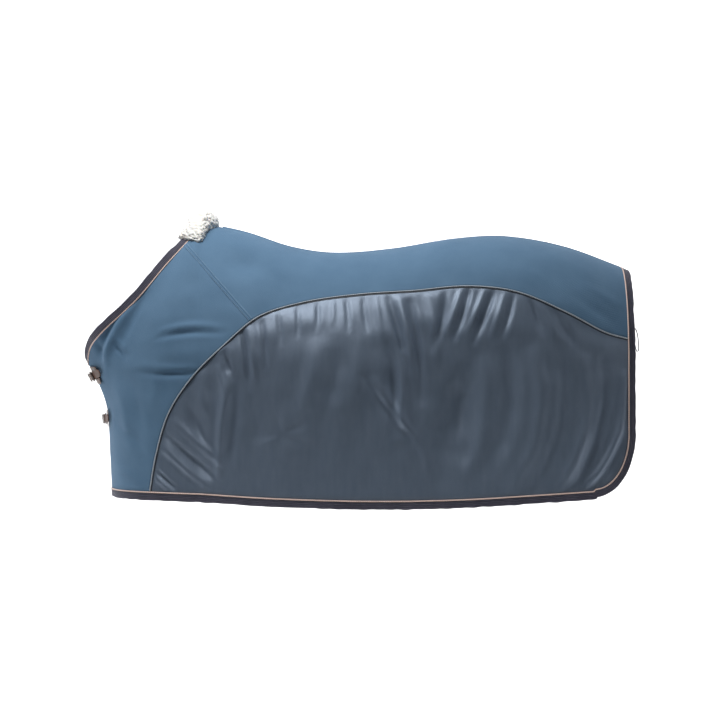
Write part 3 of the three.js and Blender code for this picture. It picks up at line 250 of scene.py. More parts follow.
def girth_lines(along):
    share = np.clip((withers_x - along) / turn, 0, 1)
    ahead = np.sin(share * math.pi / 2) ** (2 / chest_squareness)
    aside = np.cos(share * math.pi / 2) ** (2 / chest_squareness)
    front = along < withers_x
    body_x = np.maximum(along, withers_x)
    z, w = topline(body_x), half_width(body_x)
    neck = smooth_curve(neck_loop, True, share / 2)
    flat = np.column_stack([body_x, np.zeros_like(z), z])
    top = np.where(front[:, None], neck, flat)
    wide_x = mix(body_x, chest_front_x, ahead)
    wide_z = np.where(
        front, mix(withers_rise - arch_depth(withers_x), -chest_depth, ease(share)), z - arch_depth(body_x)
    )
    wide = np.column_stack([wide_x, -w * aside, wide_z])
    foot = np.column_stack([wide_x + 11 * ahead, -w * hem_flare * aside, hem_height(along)])
    square = squareness(body_x)[:, None]
    lean = ease(share * 2.25)[:, None]
    s = np.linspace(0, 2, girth_samples + 1)[None, :]
    a = np.minimum(s, 1) * math.pi / 2
    out = mix(np.sin(a) ** (2 / square), np.sin(a), lean)
    down = mix(1 - np.maximum(np.cos(a), 0) ** (2 / square), np.minimum(s, 1), lean)
    upper = np.stack(
        [mix(top[:, k : k + 1], wide[:, k : k + 1], down if k == 2 else out) for k in range(3)], axis=2
    )
    lower = wide[:, None, :] + (foot - wide)[:, None, :] * (s[..., None] - 1)
    line = np.where((s <= 1)[..., None], upper, lower)
    run = np.concatenate(
        [np.zeros((len(along), 1)), np.cumsum(np.linalg.norm(np.diff(line, axis=1), axis=2), axis=1)], axis=1
    )
    even = np.linspace(0, 1, girth_samples + 1)
    table = np.empty_like(line)
    for i in range(len(along)):
        for k in range(3):
            table[i, :, k] = np.interp(even * run[i, -1], run[i], line[i, :, k])
    return table


form_table = girth_lines(girth_at)


def form(along, down):
    """Points of the left half: along from the tail to the chest's middle, down from 0 to 1 at the hem."""
    along, down = np.broadcast_arrays(np.asarray(along, float), np.asarray(down, float))
    beyond = along < centre_x
    reflected = np.where(beyond, 2 * centre_x - along, along)
    i = np.clip((reflected - centre_x) / 2.5, 0, len(girth_at) - 1.000001)
    j = np.clip(down, 0, 1) * girth_samples * 0.9999999
    i0, j0 = i.astype(int), j.astype(int)
    fi, fj = (i - i0)[..., None], (j - j0)[..., None]
    near = mix(form_table[i0, j0], form_table[i0, j0 + 1], fj)
    far = mix(form_table[i0 + 1, j0], form_table[i0 + 1, j0 + 1], fj)
    p = mix(near, far, fi)
    p[..., 1] = np.where(beyond, -p[..., 1], p[..., 1])
    return p


def settle(target, along, down, axes):
    """Moves (along, down) until form() comes nearest to the target, compared on the given axes."""
    for _ in range(9):
        here = form(along, down)
        side = np.where(along > withers_x, -2.5, 2.5)
        lift = np.where(down > 0.5, -0.01, 0.01)
        per_along = ((form(along + side, down) - here) / side[..., None])[..., axes]
        per_down = ((form(along, down + lift) - here) / lift[..., None])[..., axes]
        off = (target - here)[..., axes]
        aa, ad, dd = (per_along**2).sum(-1), (per_along * per_down).sum(-1), (per_down**2).sum(-1)
        size = np.maximum(aa * dd - ad**2, 1e-9)
        oa, od = (off * per_along).sum(-1), (off * per_down).sum(-1)
        along = np.clip(along + np.clip((dd * oa - ad * od) / size, -60, 60), centre_x - 2 * overlap, tail_x)
        down = np.clip(down + np.clip((aa * od - ad * oa) / size, -0.15, 0.15), 0, 1)
    return along, down


def on_side(points):
    """The (along, down) of points drawn in the side view."""
    points = np.array(points, float)
    target = np.column_stack([points[:, 0], np.zeros(len(points)), points[:, 1]])
    flat = form_table[::4, ::4].reshape(-1, 3)
    rows, columns = form_table[::4, ::4].shape[:2]
    pick = np.array([np.argmin((flat[:, 0] - x) ** 2 + (flat[:, 2] - z) ** 2) for x, z in points])
    along = girth_at[::4][pick // columns]
    down = (pick % columns) * 4 / girth_samples
    return np.column_stack(settle(target, along, down, [0, 2]))


def patch(top, bottom, left, right):
    """(along, down) of a grid between four edges, blended in space and laid back on the form."""
    rows, columns = len(left) - 1, len(top) - 1
    c = np.linspace(0, 1, rows + 1)[:, None, None]
    a = np.linspace(0, 1, columns + 1)[None, :, None]

    def blended(t, b, l, r):
        corners = mix(mix(t[0], t[-1], a), mix(b[0], b[-1], a), c)
        return mix(t[None], b[None], c) + mix(l[:, None], r[:, None], a) - corners

    edges = [np.asarray(e, float) for e in (top, bottom, left, right)]
    guess = blended(*edges)
    target = blended(*(form(e[:, 0], e[:, 1]) for e in edges))
    along, down = settle(target, guess[..., 0], np.maximum(guess[..., 1], 0), [0, 1, 2])
    grid = np.stack([along, down], axis=-1)
    grid[0], grid[-1], grid[:, 0], grid[:, -1] = edges[0], edges[1], edges[2], edges[3]
    return grid


def spread(start, end, steps):
    return np.linspace(start, end, steps + 1)


def joined(*runs):
    return np.vstack([runs[0]] + [run[1:] for run in runs[1:]])


# ---------------------------------------------------------------------------
# Jersey back and shoulders, net sides: three panels on each side, cut to the
# arch seam, the shoulder seam, the neckline and the hem.
# ---------------------------------------------------------------------------
FINE = 2
arch_top = 131.0
arch_foot = withers_x - 153.0
arch_line = [
    (arch_foot, float(hem_height(withers_x - 0.3 * turn))), (arch_foot + 22, -650), (arch_foot + 62, -518),
    (arch_foot + 140, -400), (arch_foot + 250, -292), (station(0.14), -arch_top - 83),
    (station(0.24), -arch_top - 38), (station(0.37), -arch_top - 12), (station(0.5), -arch_top),
    (station(0.62), -arch_top + 14), (station(0.73), -arch_top - 3), (station(0.85), -arch_top - 70),
    (station(0.94), -arch_top - 132), (tail_x, -arch_top - 153),
]
unit = 6 * FINE
arch_steps, arch_corner, junction = 26 * unit, 6 * unit, 9 * unit
arch_xz = even_points(arch_line, arch_steps)
arch_xz[0, 1] += 0.5
arch = on_side(arch_xz)
arch[0, 1] = 1.0
arch[-1, 0] = tail_x

seam_steps, neck_steps = 26 * FINE, 9 * FINE
seam_neck = withers_x - 0.22 * turn
seam_ends = form(np.array([seam_neck, arch[junction, 0]]), np.array([0.0, arch[junction, 1]]))
seam_xz = spread(seam_ends[0][[0, 2]], seam_ends[1][[0, 2]], seam_steps)
shoulder_seam = on_side(seam_xz)
shoulder_seam[0] = (seam_neck, 0)
shoulder_seam[-1] = arch[junction]

corner_length, corner_rise = 120.0, 180.0
corner_steps = 14 * FINE
corner_turn = np.linspace(0, math.pi / 2, 2 * corner_steps + 1)
corner_z = float(hem_height(tail_x)) + corner_rise
corner_xz = np.column_stack([
    np.minimum(tail_x, tail_x - corner_length + corner_length * np.sin(corner_turn)),
    corner_z - corner_rise * np.cos(corner_turn),
])
corner = on_side(corner_xz)
corner[0] = (tail_x - corner_length, 1)
flap_edge = centre_x - overlap

spine_steps = arch_steps - junction
back_front = joined(spread((withers_x, 0), (seam_neck, 0), neck_steps), shoulder_seam)
back_tail = spread((tail_x, 0), arch[-1], len(back_front) - 1)
rear = joined(shoulder_seam, arch[: junction + 1][::-1])
across_steps = 34 * FINE
hem_steps = arch_steps - arch_corner - corner_steps
side_top = arch[arch_corner:]
side_front = arch[: arch_corner + 1][::-1]
tail_steps = len(side_front) - 1 - corner_steps
up_tail = corner[corner_steps:][::-1]
grids = {
    "back": patch(spread((withers_x, 0), (tail_x, 0), spine_steps), arch[junction:], back_front, back_tail),
    "shoulder": patch(
        spread((flap_edge, 0), (seam_neck, 0), across_steps),
        spread((flap_edge, 1), arch[0], across_steps),
        spread((flap_edge, 0), (flap_edge, 1), len(rear) - 1),
        rear,
    ),
    "side": patch(
        side_top,
        joined(spread(arch[0], corner[0], hem_steps), corner[: corner_steps + 1]),
        side_front,
        joined(spread(arch[-1], up_tail[0], tail_steps), up_tail),
    ),
}

flap_step = 5.5
lay_start, lay_end = 0.0, 95.0


def layer_step(along, layer):
    """The left chest flap lies outside the right one; both run smooth into the sides."""
    return layer * flap_step * (1 - ease((along - centre_x - lay_start) / (lay_end - lay_start)))


def normals(along, down):
    ahead = form(along + 3, down) - form(along - 3, down)
    below = form(along, np.clip(down + 0.012, 0, 1)) - form(along, np.clip(down - 0.012, 0, 1))
    n = np.cross(below, ahead)
    return n / np.maximum(np.linalg.norm(n, axis=-1), 1e-9)[..., None]


# Folds, as lines drawn in the side view: points, height (a valley below 0), half-width.
# Each fades out towards its ends, with a shallow hollow of the opposite sign on both sides.
side_folds = [
    ([(-333, -400), (-352, -560), (-365, -720)], 6.0, 15),
    ([(-300, -410), (-318, -560), (-332, -690)], -5.0, 20),
    ([(218, -330), (214, -480), (206, -590)], 5.0, 14),
    ([(170, -300), (186, -420), (196, -560)], -5.0, 19),
    ([(-290, -262), (-276, -340), (-266, -440)], -5.5, 9),
    ([(-268, -250), (-254, -340), (-246, -430)], 3.5, 9),
    ([(-228, -232), (-218, -300), (-213, -370)], -5.0, 8),
    ([(-345, -330), (-330, -370), (-318, -410)], -4.5, 9),
    ([(-366, -372), (-352, -420), (-345, -460)], 3.5, 9),
    ([(-176, -200), (-170, -255), (-166, -300)], -2.6, 8),
    ([(-116, -180), (-112, -236), (-113, -275)], -2.4, 8),
    ([(-52, -165), (-50, -214), (-52, -250)], -2.6, 8),
    ([(-4, -158), (-2, -205), (-3, -240)], 2.0, 7),
    ([(38, -154), (44, -205), (46, -262)], -2.8, 8),
    ([(92, -150), (98, -212), (108, -262)], -2.6, 9),
    ([(132, -148), (140, -205), (152, -268)], 2.4, 8),
    ([(172, -148), (204, -262), (232, -385)], -6.0, 12),
    ([(206, -150), (232, -262), (258, -392)], 4.5, 13),
    ([(240, -168), (262, -300), (276, -480)], -6.0, 14),
    ([(300, -150), (318, -262), (320, -372)], 3.6, 16),
    ([(352, -140), (340, -225), (312, -318)], -4.5, 13),
    ([(430, -116), (408, -200), (378, -285)], -5.5, 10),
    ([(404, -120), (380, -196), (352, -270)], 3.5, 9),
    ([(505, -130), (476, -208), (440, -296)], -5.5, 11),
    ([(478, -122), (450, -196), (416, -272)], 4.0, 10),
    ([(566, -142), (552, -206), (528, -280)], -4.8, 10),
    ([(540, -138), (520, -206), (494, -276)], 3.6, 10),
    ([(616, -152), (634, -206), (658, -268)], -4.4, 11),
    ([(650, -170), (676, -226), (706, -282)], 3.6, 12),
    ([(700, -190), (728, -250), (766, -305)], -4.2, 12),
    ([(398, -410), (392, -510), (372, -620)], -7.0, 38),
    ([(92, -400), (176, -520), (256, -640), (272, -730)], -4.5, 15),
    ([(128, -420), (206, -530), (284, -640), (300, -712)], 4.0, 17),
    ([(468, -360), (474, -480), (452, -640), (400, -740)], 4.5, 26),
    ([(540, -300), (560, -420), (548, -560), (492, -700)], -5.0, 30),
    ([(633, -330), (652, -460), (628, -620), (560, -750)], 5.0, 24),
    ([(716, -330), (728, -470), (700, -620), (630, -765)], -5.0, 24),
    ([(790, -350), (806, -480), (772, -640), (704, -770)], 5.0, 20),
    ([(852, -350), (864, -480), (832, -610), (776, -740)], -4.5, 16),
    ([(926, -400), (906, -575), (850, -690), (790, -755)], 5.5, 13),
    ([(-535, -585), (-450, -662), (-362, -736)], -5.0, 13),
    ([(-548, -622), (-470, -692), (-396, -752)], 4.0, 12),
    ([(-505, -545), (-420, -620), (-330, -700)], 3.6, 15),
    ([(-572, -690), (-540, -722), (-492, -764)], -3.6, 8),
    ([(-566, -720), (-536, -748), (-506, -778)], 3.0, 7),
    ([(-470, -470), (-440, -545), (-400, -620)], -4.0, 17),
    ([(-420, -400), (-412, -480), (-384, -560)], 3.6, 18),
    ([(-60, -300), (-74, -420), (-120, -540)], 3.2, 26),
    ([(10, -300), (2, -430), (-44, -560)], -3.6, 28),
    ([(78, -300), (74, -420), (52, -520)], 3.0, 26),
]
shoulder_folds = [
    ([(-556, -276), (-460, -262), (-350, -264)], -5.0, 9),
    ([(-552, -256), (-460, -240), (-360, -244)], 3.2, 10),
    ([(-622, -388), (-520, -396), (-430, -394)], -3.8, 10),
    ([(-622, -366), (-520, -374), (-436, -372)], 2.6, 11),
    ([(-800, -220), (-768, -300), (-742, -372)], -5.0, 11),
    ([(-642, -150), (-690, -232), (-736, -330), (-742, -400)], 5.5, 14),
    ([(-676, -150), (-722, -238), (-768, -338)], -5.5, 13),
    ([(-606, -140), (-650, -226), (-702, -330)], -4.0, 15),
    ([(-712, -276), (-690, -300), (-664, -322)], 3.6, 9),
    ([(-706, -300), (-684, -322), (-660, -342)], -3.4, 8),
    ([(-700, -420), (-668, -520), (-654, -640)], 3.6, 20),
    ([(-652, -400), (-628, -500), (-616, -620)], -3.4, 20),
    ([(-560, -330), (-566, -430), (-580, -520)], 2.6, 22),
    ([(-700, -560), (-640, -600), (-600, -660)], -2.8, 14),
    ([(-700, -700), (-660, -712), (-610, -742)], 2.4, 12),
]
back_folds = [
    ([(-470, -120), (-380, -160), (-290, -200)], 2.4, 22),
    ([(-400, 20), (-300, -30), (-190, -70)], -1.8, 26),
    ([(-240, -40), (-140, -70), (-40, -86)], 1.6, 24),
    ([(560, -20), (660, -60), (760, -120)], -2.2, 24),
    ([(640, 10), (740, -30), (850, -96)], 2.0, 22),
    ([(760, -140), (830, -190), (900, -232)], -2.6, 18),
    ([(800, -110), (870, -150), (930, -190)], 2.2, 16),
]
pucker_at = [(-163.0, -584.0), (251.0, -588.0)]


def fold_height(x, z, folds):
    total = np.zeros_like(x)
    for points, height, half in folds:
        fine = smooth_curve(points, False, np.linspace(0, 1, 25))
        nearest_at = np.full(x.shape, 1e9)
        share = np.zeros_like(x)
        for k in range(24):
            a, b = fine[k], fine[k + 1]
            step_x, step_z = b - a
            t = np.clip(((x - a[0]) * step_x + (z - a[1]) * step_z) / (step_x**2 + step_z**2), 0, 1)
            off = (x - a[0] - t * step_x) ** 2 + (z - a[1] - t * step_z) ** 2
            closer = off < nearest_at
            nearest_at = np.where(closer, off, nearest_at)
            share = np.where(closer, (k + t) / 24, share)
        fade = np.sin(math.pi * np.clip(0.12 + 0.8 * share, 0, 1)) ** 1.1
        near = nearest_at / half**2
        total += height * fade * (np.exp(-near) - 0.35 * np.exp(-near / 4.5))
    return total


def pucker_height(x, z):
    total = np.zeros_like(x)
    for n, (px, pz) in enumerate(pucker_at):
        dx, dz = x - px, z - pz
        r = np.hypot(dx, dz)
        a = np.arctan2(dz, dx)
        rays = np.cos(5 * a + 1.3 * n + 0.6 * np.sin(2 * a)) + 0.25 * np.cos(9 * a - 0.8)
        total += 2.7 * rays * np.exp(-(((r - 46) / 44) ** 2)) * ease(r / 32)
    return total


def body_relief(x, z):
    """What the horse's muscles add to the smooth form: barrel, hollow flank, thigh."""
    swells = [
        (-30, -430, 190, 170, 17), (405, -545, 105, 150, -20), (640, -430, 110, 150, 9),
        (-330, -470, 60, 150, 6), (-240, -500, 50, 120, -7), (840, -540, 70, 170, -10),
    ]
    return sum(h * np.exp(-(((x - a) / p) ** 2) - ((z - b) / q) ** 2) for a, b, p, q, h in swells)


def over_hooks(x, z):
    """1 where the cloth lies over a surcingle's patch, hook and slide, fading to 0 round them."""
    total = np.zeros_like(x)
    for px, pz in pucker_at:
        total += np.exp(-(((x - px) / 66) ** 4)) * ease((pz + 112 - z) / 45)
    return np.clip(total, 0, 1)


def rumple(x, z, size, seed):
    """Soft, unrepeating unevenness: a sum of slanting waves."""
    rng = np.random.default_rng(seed)
    total = np.zeros_like(x)
    for _ in range(16):
        a = rng.uniform(0, math.tau)
        k = math.tau / (size * rng.uniform(0.7, 2.2))
        total += np.sin(k * (x * math.cos(a) + z * math.sin(a)) + rng.uniform(0, math.tau))
    return total / 4


def hush(grid, margin):
    """0 on a panel's edges, 1 further in than the margin, so that the trims lie flat."""
    p = form(grid[..., 0], grid[..., 1])
    rows, columns = grid.shape[:2]
    run_down = np.cumsum(
        np.vstack([np.zeros((1, columns)), np.linalg.norm(np.diff(p, axis=0), axis=2)]), axis=0
    )
    run_along = np.cumsum(
        np.hstack([np.zeros((rows, 1)), np.linalg.norm(np.diff(p, axis=1), axis=2)]), axis=1
    )
    gaps = [run_down, run_down[-1:] - run_down, run_along, run_along[:, -1:] - run_along]
    return np.minimum.reduce([ease(g / margin) for g in gaps])


def panel_points(name, side):
    """The cloth's middle surface and its normals for one side, in the left half's place."""
    grid = grids[name]
    along, down = grid[..., 0], grid[..., 1]
    p, n = form(along, down), normals(along, down)
    x, z = p[..., 0], p[..., 2]
    other = side == "right"
    shift = 34.0 if other else 0.0
    if name == "side":
        calm = hush(grid, 26)
        lift = calm * (2.9 * fold_height(x + shift, z, side_folds) + 1.6 * rumple(x, z, 120, 5 + other))
        lift = lift + hush(grid, 90) * body_relief(x + shift, z)
        lift = lift + calm * pucker_height(x, z) + hush(grid, 70) * 1.2 * rumple(x, z * 0.25, 60, 9 + other)
        held_out = over_hooks(x, z)
        lift = mix(lift, np.maximum(lift, -1) * 0.8 + 1.5 * calm, held_out)
    elif name == "shoulder":
        calm = hush(grid, 24)
        chest_room = 1 - 0.85 * np.exp(-(((z + 470) / 120) ** 2)) * (along < centre_x + 120)
        lift = calm * chest_room * (
            2.0 * fold_height(x, z + shift, shoulder_folds) + 0.9 * rumple(x, z, 90, 21 + other)
        )
    else:
        calm = hush(grid, 30)
        hollow = -10 * np.exp(-(((x + 300) / 75) ** 2) - ((z + 40) / 42) ** 2)
        hip = 6 * np.exp(-(((x - 370) / 60) ** 2) - ((z - 10) / 50) ** 2)
        lift = calm * (
            1.5 * fold_height(x + shift, z, back_folds) + 0.8 * rumple(x, z, 130, 41 + other) + hollow + hip
        )
    lift = lift + layer_step(along, -1 if other else 1)
    return p + n * lift[..., None], n


def mesh_object(name, verts, faces, material, uvs=None, smooth=True):
    made = bpy.data.meshes.new(name)
    made.from_pydata([tuple(v) for v in np.asarray(verts, float) * MM], [], faces)
    if uvs is not None:
        layer = made.uv_layers.new(name="cloth")
        index = np.zeros(len(made.loops), np.int32)
        made.loops.foreach_get("vertex_index", index)
        layer.data.foreach_set("uv", np.asarray(uvs, np.float32)[index].ravel())
    if smooth:
        made.shade_smooth()
    made.materials.append(material)
    obj = bpy.data.objects.new(name, made)
    scene.collection.objects.link(obj)
    return obj


def mirror_y(points):
    return points * np.array([1.0, -1.0, 1.0])


def grid_faces(rows, columns, flip, wrap=False):
    faces = []
    last = columns if wrap else columns - 1
    for j in range(rows - 1):
        for i in range(last):
            a, b = j * columns + i, j * columns + (i + 1) % columns
            quad = (a, b, b + columns, a + columns)
            faces.append(quad[::-1] if flip else quad)
    return faces


def cloth_sheet(name, points, normal, uv, thick, material, flip):
    """A closed two-layer sheet: outer face, inner face and a rim."""
    rows, columns = points.shape[:2]
    count = rows * columns
    verts = np.vstack(
        [(points + normal * thick / 2).reshape(-1, 3), (points - normal * thick / 2).reshape(-1, 3)]
    )
    outer = grid_faces(rows, columns, flip)
    inner = [tuple(count + v for v in face[::-1]) for face in outer]
    rim = [j * columns for j in range(rows)] + [(rows - 1) * columns + i for i in range(1, columns)]
    rim += [j * columns + columns - 1 for j in range(rows - 2, -1, -1)] + [
        i for i in range(columns - 2, 0, -1)
    ]
    sides = []
    for k, a in enumerate(rim):
        b = rim[(k + 1) % len(rim)]
        quad = (a, b, count + b, count + a)
        sides.append(quad[::-1] if flip else quad)
    return mesh_object(name, verts, outer + inner + sides, material, np.vstack([uv, uv]))


def cloth_uv(grid):
    along, down = grid[..., 0], grid[..., 1]
    steps = np.linalg.norm(np.diff(form_table, axis=1), axis=2).sum(axis=1)
    length = np.interp(np.where(along < centre_x, 2 * centre_x - along, along), girth_at, steps)
    return (np.stack([along, down * length], axis=-1) * MM).reshape(-1, 2)


class Nodes:
    """Short forms for building a material's nodes."""

    def __init__(self, name):
        self.made = bpy.data.materials.new(name)
        self.made.use_nodes = True
        self.tree = self.made.node_tree
        self.face = self.tree.nodes["Principled BSDF"]

    def add(self, kind, inputs=None, **settings):
        node = self.tree.nodes.new("ShaderNode" + kind)
        for key, value in settings.items():
            setattr(node, key, value)
        for key, value in (inputs or {}).items():
            if hasattr(value, "links"):
                self.tree.links.new(value, node.inputs[key])
            else:
                node.inputs[key].default_value = value
        return node

    def math(self, operation, a, b=0.0):
        return self.add("Math", {0: a, 1: b}, operation=operation).outputs[0]

    def mixed(self, share, a, b):
        node = self.add("Mix", data_type="RGBA")
        for key, value in ((0, share), (6, a), (7, b)):
            if hasattr(value, "links"):
                self.tree.links.new(value, node.inputs[key])
            else:
                node.inputs[key].default_value = value
        return node.outputs[2]

    def spot(self, kind="Object"):
        return self.add("TexCoord").outputs[kind]

    def noise(self, at, size, detail=3.0, rough=0.55):
        inputs = {"Vector": at, "Scale": 1 / size, "Detail": detail, "Roughness": rough}
        return self.add("TexNoise", inputs).outputs["Fac"]

    def ramp(self, value, low, high):
        node = self.add("MapRange", {"Value": value, "From Min": low, "From Max": high}, clamp=True)
        return node.outputs["Result"]

    def bump(self, height, depth, strength=1.0, under=None):
        inputs = {"Height": height, "Distance": depth, "Strength": strength}
        if under is not None:
            inputs["Normal"] = under
        return self.add("Bump", inputs).outputs["Normal"]

    def finish(self, **inputs):
        for key, value in inputs.items():
            socket = self.face.inputs[key.replace("_", " ")]
            if hasattr(value, "links"):
                self.tree.links.new(value, socket)
            else:
                socket.default_value = value
        return self.made


def knit_cloth():
    m = Nodes("knitted_jersey")
    place, weave = m.spot(), m.spot("UV")
    split = m.add("SeparateXYZ", {"Vector": weave})
    wales = m.math("SINE", m.math("MULTIPLY", split.outputs["X"], math.tau / 0.0021))
    courses = m.math("SINE", m.math("MULTIPLY", split.outputs["Y"], math.tau / 0.0026))
    loops = m.math("MULTIPLY", wales, courses)
    fuzz = m.noise(place, 0.0016, 2.0)
    mottle = m.noise(place, 0.11, 4.0)
    shade = m.mixed(m.ramp(mottle, 0.3, 0.7), (0.088, 0.172, 0.278, 1), (0.110, 0.205, 0.322, 1))
    flecked = m.mixed(m.math("MULTIPLY", m.ramp(fuzz, 0.35, 0.75), 0.3), shade, (0.15, 0.25, 0.37, 1))
    slant = m.math("ADD", split.outputs["X"], split.outputs["Y"])
    twill = m.math("SINE", m.math("MULTIPLY", slant, math.tau / 0.0062))
    knit = m.bump(loops, 0.0004, 0.35, m.bump(twill, 0.0004, 0.3, m.bump(fuzz, 0.0005, 0.4)))
    return m.finish(
        Base_Color=flecked, Roughness=0.86, Normal=knit, Sheen_Weight=0.22, Sheen_Roughness=0.5,
        Sheen_Tint=(0.50, 0.70, 0.95, 1.0), Specular_IOR_Level=0.2,
    )


def satin_net():
    m = Nodes("satin_net")
    place, weave = m.spot(), m.spot("UV")
    split = m.add("SeparateXYZ", {"Vector": weave})
    across = m.math("SINE", m.math("MULTIPLY", split.outputs["X"], math.tau / 0.0024))
    along = m.math("SINE", m.math("MULTIPLY", split.outputs["Y"], math.tau / 0.0024))
    holes = m.ramp(m.math("MULTIPLY", across, along), 0.35, 0.9)
    streaks = m.noise(m.add("Mapping", {"Vector": place, "Scale": (3.0, 1.0, 0.7)}).outputs[0], 0.05, 3.0)
    shade = m.mixed(m.ramp(streaks, 0.2, 0.8), (0.150, 0.200, 0.276, 1), (0.182, 0.236, 0.318, 1))
    # Painted shade: the holes are mixed towards near black for the dark inside seen through them; the alpha
    # below also lets a little through.
    net_with_painted_hole_shade = m.mixed(m.math("MULTIPLY", holes, 0.45), shade, (0.02, 0.026, 0.036, 1))
    slub = m.noise(m.add("Mapping", {"Vector": weave, "Scale": (1.0, 0.35, 1.0)}).outputs[0], 0.02, 2.0)
    threads = m.bump(m.math("MULTIPLY", across, along), 0.0003, 0.3, m.bump(slub, 0.0015, 0.2))
    return m.finish(
        Base_Color=net_with_painted_hole_shade, Roughness=0.44, Normal=threads, Metallic=0.3, Specular_IOR_Level=0.6,
        Sheen_Weight=0.25, Sheen_Roughness=0.35, Sheen_Tint=(0.75, 0.84, 0.95, 1.0),
        Anisotropic=0.4, Alpha=m.math("SUBTRACT", 0.985, m.math("MULTIPLY", holes, 0.2)),
    )


jersey_look, net_look = knit_cloth(), satin_net()
panel_nodes = {"back": "back_panel", "shoulder": "shoulder_panel", "side": "mesh_panel"}
panels = {}
for side in ("left", "right"):
    for name, node in panel_nodes.items():
        points, normal = panel_points(name, side)
        panels[name, side] = (points, normal)
        placed, facing = (points, normal) if side == "left" else (mirror_y(points), mirror_y(normal))
        net = name == "side"
        cloth = cloth_sheet(
            f"{'net' if net else 'jersey'}_{name}_{side}", placed, facing, cloth_uv(grids[name]),
            1.2 if net else 2.2, net_look if net else jersey_look, side == "left",
        )
        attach(cloth, "root")
        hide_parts(f"{node}_{side}")

# ---------------------------------------------------------------------------
# Edge bindings: grosgrain tape, 24 mm wide, folded over the cut edge of neck,
# chest flaps, hem and tail, and sewn through. Lengthwise ribs run along it.
# ---------------------------------------------------------------------------
tape_hold, tape_outside = 5.0, -19.0
cloth_half = 1.4


def frames_along(runs, side, smoothing=2):
    """Points, inward and outward directions along panel edges; each run is (edge, next line in)."""
    line = joined(*(np.asarray(run[0]) for run in runs))
    inner = joined(*(np.asarray(run[1]) for run in runs))
    layer = 1 if side == "left" else -1
    n = normals(line[:, 0], line[:, 1])
    p = form(line[:, 0], line[:, 1]) + n * layer_step(line[:, 0], layer)[:, None]
    towards = form(inner[:, 0], inner[:, 1]) - form(line[:, 0], line[:, 1])
    tangent = np.gradient(p, axis=0)
    tangent /= np.maximum(np.linalg.norm(tangent, axis=1), 1e-9)[:, None]
    inward = np.cross(n, tangent)
    inward *= np.sign((inward * towards).sum(axis=1))[:, None]
    for _ in range(smoothing):
        for v in (n, inward):
            v[1:-1] = (v[:-2] + 2 * v[1:-1] + v[2:]) / 4
            v /= np.linalg.norm(v, axis=1)[:, None]
    return p, inward, n


def shortened(frames, at_start, at_end, spacing=6.0):
    """The frames evenly respaced and cut by a length at each end; a negative length runs on past it."""
    p, inward, n = frames
    run = np.concatenate([[0], np.cumsum(np.linalg.norm(np.diff(p, axis=0), axis=1))])
    keep = np.concatenate([[True], np.diff(run) > 1e-6])
    p, inward, n, run = p[keep], inward[keep], n[keep], run[keep]
    at = np.linspace(at_start, run[-1] - at_end, max(3, int((run[-1] - at_end - at_start) / spacing) + 1))
    out = [np.column_stack([np.interp(at, run, v[:, k]) for k in range(3)]) for v in (p, inward, n)]
    out[0] += np.minimum(at, 0)[:, None] * (p[1] - p[0]) / np.linalg.norm(p[1] - p[0])
    past = np.maximum(at - run[-1], 0)[:, None]
    out[0] += past * (p[-1] - p[-2]) / np.linalg.norm(p[-1] - p[-2])
    for v in out[1:]:
        v /= np.linalg.norm(v, axis=1)[:, None]
    return out[0], out[1], out[2], at - at_start


def edge_run(name, border):
    grid = grids[name]
    pairs = {
        "top": (grid[0], grid[1]), "bottom": (grid[-1], grid[-2]),
        "left": (grid[:, 0], grid[:, 1]), "right": (grid[:, -1], grid[:, -2]),
    }
    return pairs[border]


def turned(run):
    return run[0][::-1], run[1][::-1]


def cut_run(run, start, end):
    return run[0][start:end], run[1][start:end]


edges = {}
for side in ("left", "right"):
    front_back = edge_run("back", "left")
    edges[side] = {
        "neck": frames_along(
            [cut_run(front_back, 0, neck_steps + 1), turned(edge_run("shoulder", "top"))], side, 6
        ),
        "hem": frames_along([
            edge_run("shoulder", "bottom"), edge_run("side", "bottom"), turned(edge_run("side", "right")),
            turned(edge_run("back", "right")),
        ], side, 4),
        "chest": frames_along([edge_run("shoulder", "left")], side),
        "arch": frames_along([turned(edge_run("side", "left")), edge_run("side", "top")], side, 4),
        "seam": frames_along([cut_run(front_back, neck_steps, None)], side, 4),
        "spine": frames_along([edge_run("back", "top")], side),
    }


def swept(name, frames, section, material, mirror, closed_ends=True):
    """Sweeps a closed section, given as rows of (inward, outward) that may vary along the frames."""
    p, inward, n = frames[:3]
    section = np.asarray(section, float)
    if section.ndim == 2:
        section = np.broadcast_to(section, (len(p),) + section.shape)
    rings = p[:, None] + inward[:, None] * section[..., :1] + n[:, None] * section[..., 1:]
    count, m = rings.shape[:2]
    flat = section[0]
    area = 0.5 * np.sum(flat[:, 0] * np.roll(flat[:, 1], -1) - flat[:, 1] * np.roll(flat[:, 0], -1))
    hand = np.dot(np.cross(inward[0], n[0]), p[1] - p[0]) * area
    verts = rings.reshape(-1, 3)
    if mirror:
        verts, hand = mirror_y(verts), -hand
    faces = grid_faces(count, m, hand < 0, wrap=True)
    if closed_ends:
        first, last = list(range(m)), [(count - 1) * m + k for k in range(m)]
        faces += [first if hand < 0 else first[::-1], last[::-1] if hand < 0 else last]
    run = np.concatenate([[0], np.cumsum(np.linalg.norm(np.diff(p, axis=0), axis=1))])
    uv = np.stack(np.broadcast_arrays(run[:, None] * MM, section[..., 0] * MM), axis=-1).reshape(-1, 2)
    return mesh_object(name, verts, faces, material, uv)


